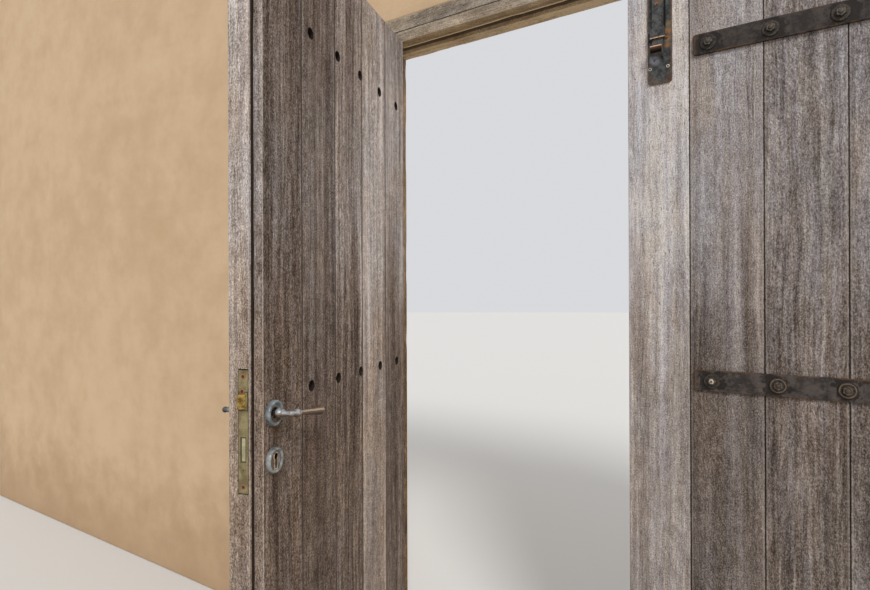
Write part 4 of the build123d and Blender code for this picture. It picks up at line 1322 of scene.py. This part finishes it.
def keyPlateFinish(name, look):
    made, g = material(name)
    point = g.place("left")
    part = g.attribute("part")
    blotch = g.cloud(point, 90.0, 4.0, 0.6)
    fine = g.cloud(point, 520.0, 3.0, 0.7)
    colour = g.blend(g.step(blotch, 0.34, 0.66), look["dull"], look["bright"])
    colour = g.blend(g.step(fine, 0.42, 0.72) * 0.4, colour, look["speck"])
    x, _, z = g.axes(point)
    x, z = x - lock["keyhole"][0], z - lock["keyhole"][1]
    out = (x ** 2.0 + z ** 2.0) ** 0.5 + (blotch - 0.5) * 0.002
    colour = g.blend(g.fade(abs(out - look["lineAt"]), 0.0005, 0.0014, 0.6), colour, look["line"])
    dirt = g.step(x * 0.8 + z * 0.2 + (blotch - 0.5) * 0.010, -0.008, 0.004, 0.15, 0.85)
    colour = g.blend(g.fade(out, 0.0160, look["lineAt"]) * dirt, colour, look["dirt"])
    rim = g.blend(g.step(blotch, 0.40, 0.60), *look["rim"])
    colour = g.blend(g.step(part, 0.4, 0.6), colour, rim)
    # the keyhole's walls near black: painted shade
    colour = g.blend(g.step(part, 1.4, 1.6), colour, look["inside"])
    g.surface(colour, g.step(blotch, 0.3, 0.7, 0.55, 0.42), fine + blotch, 0.00012, 0.5, 0.5)
    return made


keyMetal = keyPlateFinish("keyPlateMetal", keyLook)
leafFaces = (("front", boards["front"], -1), ("back", boards["back"], 1))
for name, face, outward in leafFaces:
    piece = keyPlatePiece(f"{name}KeyPlate", face, outward)
    settle(piece, "left_leaf", "grey_metal", keyMetal, f"{name}_keyhole_plate")
print("keyhole plates made")


# Lever handles: a turned neck with a bulb and a ring, and a lever with a bead that swells to its end
handles = {
    "stand": 0.040, "droop": math.radians(7.0), "gripFrom": -0.0722, "segments": 28,
    "neck": [
        (0, 0.0094), (0.0080, 0.0094), (0.0096, 0.0125), (0.0092, 0.0160), (0.0066, 0.0196),
        (0.0064, 0.0204), (0.0076, 0.0209), (0.0076, 0.0229), (0.0062, 0.0235), (0.0056, 0.0262),
        (0.0048, 0.0310), (0.0046, 0.0350), (0.0052, 0.0378), (0.0060, 0.0405), (0.0054, 0.0432),
        (0.0034, 0.0454), (0, 0.0462),
    ],
    "lever": [
        (0, -0.0010), (0.0046, -0.0010), (0.0046, 0.0155), (0.0056, 0.0168), (0.0074, 0.0184),
        (0.0084, 0.0208), (0.0084, 0.0228), (0.0074, 0.0254), (0.0050, 0.0272), (0.0041, 0.0286),
        (0.0042, 0.0360), (0.0050, 0.0500), (0.0062, 0.0700), (0.0076, 0.0900), (0.0088, 0.1050),
        (0.0094, 0.1110), (0.0091, 0.1148), (0.0070, 0.1182), (0.0036, 0.1196), (0, 0.1200),
    ],
    "silver": rgb(156, 158, 160), "tarnish": rgb(102, 80, 58), "grip": rgb(104, 78, 48),
    "rubbed": rgb(156, 140, 126), "under": rgb(42, 29, 18), "shade": rgb(34, 38, 44),
}


def handlePiece(name, face, outward):
    bm = bmesh.new()
    lathe(bm, handles["lever"], handles["segments"])
    laid = (
        Matrix.Translation((0, outward * handles["stand"], 0))
        @ Matrix.Rotation(-handles["droop"], 4, "Y")
        @ Matrix.Rotation(math.pi / 2, 4, "Z")
    )
    bmesh.ops.transform(bm, matrix=laid, verts=bm.verts)
    lathe(bm, [(radius, outward * reach) for radius, reach in handles["neck"]], handles["segments"])
    x, z = lock["spindle"]
    return meshObject(name, bm, leafTurn @ Matrix.Translation((x, face, z)))


def handleFinish(name, look):
    # silvery neck and bead, brown below as tarnish and painted shade; a bronze grip, near black below as
    # painted shade, with a pale streak along its upper side as painted highlight; the outer handle dark as
    # painted shade
    made, g = material(name)
    point = g.place("left")
    blotch = g.cloud(point, 95.0, 4.0, 0.6)
    fine = g.cloud(point, 520.0, 3.0, 0.7)
    x, y, z = g.axes(point)
    fall = (x - lock["spindle"][0]) * math.tan(look["droop"])
    above = z - lock["spindle"][1] - fall + (blotch - 0.5) * 0.004
    # neck silver above the lever's axis and brown below it: painted light from above, with tarnish blotches
    neck = g.blend(g.step(above, -0.0036, 0.0004), look["tarnish"], look["silver"])
    neck = g.blend(g.step(blotch, 0.52, 0.64) * 0.7, neck, look["tarnish"])
    # grip near black below the axis as painted shade, with a painted highlight streak above it
    grip = g.blend(g.step(above, -0.0060, -0.0010), look["under"], look["grip"])
    streak = g.step(above, 0.0004, 0.0022) * g.fade(above, 0.0040, 0.0060)
    grip = g.blend(streak * g.step(blotch, 0.30, 0.50, 0.6, 1.0), grip, look["rubbed"])
    pastGrip = x + (blotch - 0.5) * 0.004 - look["gripFrom"]
    colour = g.blend(g.step(pastGrip, -0.001, 0.001), grip, neck)
    # the outer handle dark all over: painted shade
    colour = g.blend(g.fade(y, -0.062, -0.050, 0.8), colour, look["shade"])
    g.surface(colour, g.step(fine, 0.3, 0.7, 0.54, 0.38), fine, 0.0001, 0.45, 0.5)
    return made


handleMetal = handleFinish("wornBronze", handles)
for name, face, outward in leafFaces:
    piece = handlePiece(f"{name}Lever", face, outward)
    shadeSmooth(piece, 50)
    settle(piece, "lever", "worn_bronze", handleMetal, f"{name}_handle")
print("handles made")


# Coping: peaked stones bedded on a mortar strip, laid in a row by the same tree
coping = {
    "start": -3.714, "end": 2.114, "count": 10, "joint": 0.007, "front": -0.028, "back": 0.251,
    "low": 3.0, "edge": 3.0415, "peak": 3.0535, "dripAt": 0.012, "dripWide": 0.010, "dripDeep": 0.005,
    "uneven": 0.0008, "swell": 3.0, "chip": 0.010, "spacing": 0.05, "bed": 0.006,
    "round": 0.004,
}


def copingRing(inset, drips):
    s = coping
    y0, y1 = s["front"] + inset, s["back"] - inset
    corners = [(y0, s["low"], 0.6)]
    if drips:
        for y in (y0 + s["dripAt"], y1 - s["dripAt"] - s["dripWide"]):
            corners += [(y, s["low"], 0.3), (y + s["dripWide"] / 2, s["low"] + s["dripDeep"], 0.0),
                        (y + s["dripWide"], s["low"], 0.3)]
    edge, round, peak = s["edge"] - inset, s["round"], ((y0 + y1) / 2, s["peak"] - inset, 0.2)
    return corners + [
        (y1, s["low"], 0.6), (y1, edge - round, 0.6), (y1 - round, edge, 1.0), peak, (y0 + round, edge, 1.0),
        (y0, edge - round, 0.6),
    ]


def copingLength(name, inset, length, drips):
    bm, worn = newTimber()
    stations = stationsAlong(-length / 2, length / 2, coping["spacing"], 0.003)
    sweep(bm, worn, copingRing(inset, drips), stations, lambda u, v, w: (w, u, v), coping, 5.0)
    return meshObject(name, bm)


stoneLook = {
    "deep": rgb(138, 132, 120), "pale": rgb(184, 178, 164), "lichen": rgb(96, 92, 82),
    "sand": rgb(112, 104, 92), "worn": rgb(198, 192, 178),
}


def stoneFinish(name, look):
    # weathered limestone: lichen grey above, pitted, each stone its own tone
    made, g = material(name)
    point = g.place()
    broad = g.cloud(point, 9.0, 5.0, 0.65)
    lichen = g.cloud(point, 34.0, 5.0, 0.7)
    sand = g.cloud(point, 380.0, 3.0, 0.6)
    colour = g.blend(g.step(broad + g.attribute("wear") * 0.16, 0.40, 0.74), look["deep"], look["pale"])
    colour = g.blend(g.step(lichen, 0.54, 0.66) * 0.6, colour, look["lichen"])
    colour = g.blend(g.step(sand, 0.45, 0.75) * 0.3, colour, look["sand"])
    rubbed = g.step(g.attribute("arris") + (lichen - 0.5) * 0.9, 0.6, 0.95) * 0.4
    colour = g.blend(rubbed, colour, look["worn"])
    g.surface(colour, 0.92, sand * 0.4 + lichen * 1.2, 0.0025, specular=0.2)
    return made


pitch = (coping["end"] - coping["start"] + coping["joint"]) / coping["count"]
stoneTemplate = copingLength("copingStone", 0.0, pitch - coping["joint"], True)
firstStone = coping["start"] + (pitch - coping["joint"]) / 2
stonePlaces = [(firstStone + pitch * i, 0, 0) for i in range(coping["count"])]
stoneRow = {"spin": 0.0, "lean": 0.0, "seed": 4}
stoneFace = stoneFinish("copingStone", stoneLook)
fitRow("copingStones", stonePlaces, stoneTemplate, stoneRow, stoneFace, "root", "coping_stone", ("coping",))
bpy.data.objects.remove(stoneTemplate)
bed = copingLength("copingMortar", coping["bed"], coping["end"] - coping["start"] - 0.02, False)
bed.data.transform(Matrix.Translation(((coping["start"] + coping["end"]) / 2, 0, 0)))
shadeSmooth(bed, 50)
settle(bed, "root", "coping_stone", mortar)
print("coping laid")


# finishes for the CAD nodes that stay
def dress(names, finish):
    for name in names:
        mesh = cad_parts[name].data
        mesh.materials.clear()
        mesh.materials.append(finish)


places = ("bottom", "middle", "top")
dress([f"left_strap_{p}" for p in places], leftIron)
dress([f"right_strap_{p}" for p in places], rightIron)
dress([f"{side}_pintle_{p}" for side in ("left", "right") for p in places], plainIron)
dress(["slide_bolt_plate", "slide_bolt_bar"], slideIron)
dress(["slide_bolt_keeper", "spindle"], plainIron)
dress(["lock_case", "lock_keep"], brass)
dress(["latch_bolt"], latchBrass)
dress(["dead_bolt"], paleBrass)
dress(["front_rose", "back_rose"], greyMetal)
print("fittings dressed")


# studio: pale floor, soft light, and the photograph's own viewpoint
studio = {
    "floor": rgb(206, 204, 200), "floorRadius": 40.0, "sky": (0.955, 0.97, 1.0, 1), "skyStrength": 0.72,
    "sunSpread": math.radians(18), "suns": {"keyLight": (2.3, (52, 0, 44)), "fillLight": (0.5, (60, 0, 150))},
}
bm = bmesh.new()
bmesh.ops.create_circle(bm, cap_ends=True, segments=96, radius=studio["floorRadius"])
floor = meshObject("studioFloor", bm)
floorFinish, g = material("studioFloor")
g.surface(studio["floor"], 0.9, g.cloud(g.place(), 3.0), 0.0001, specular=0.2)
floor.data.materials.append(floorFinish)

world = bpy.data.worlds.new("studio")
bpy.context.scene.world = world
world.use_nodes = True
g = Graph(world.node_tree)
back = g.node("ShaderNodeBackground", {}, {"Color": studio["sky"], "Strength": studio["skyStrength"]})
g.node("ShaderNodeOutputWorld", {}, {"Surface": back})
for name, (power, turn) in studio["suns"].items():
    lamp = bpy.data.lights.new(name, "SUN")
    lamp.energy = power
    lamp.angle = studio["sunSpread"]
    linked(name, lamp).rotation_euler = [math.radians(angle) for angle in turn]

photoView = {"place": (0.3892, -1.45095, 1.1805), "turn": 33.383, "tilt": 0.078, "roll": -0.194, "lens": 24.0}
camera = linked("photoCamera", bpy.data.cameras.new("photoCamera"))
camera.data.lens = photoView["lens"]
camera.data.clip_start = 0.02
camera.matrix_world = (
    Matrix.Translation(photoView["place"])
    @ Matrix.Rotation(math.radians(photoView["turn"]), 4, "Z")
    @ Matrix.Rotation(math.radians(90 + photoView["tilt"]), 4, "X")
    @ Matrix.Rotation(math.radians(photoView["roll"]), 4, "Z")
)
bpy.context.scene.camera = camera
bpy.context.scene.view_settings.view_transform = "Standard"
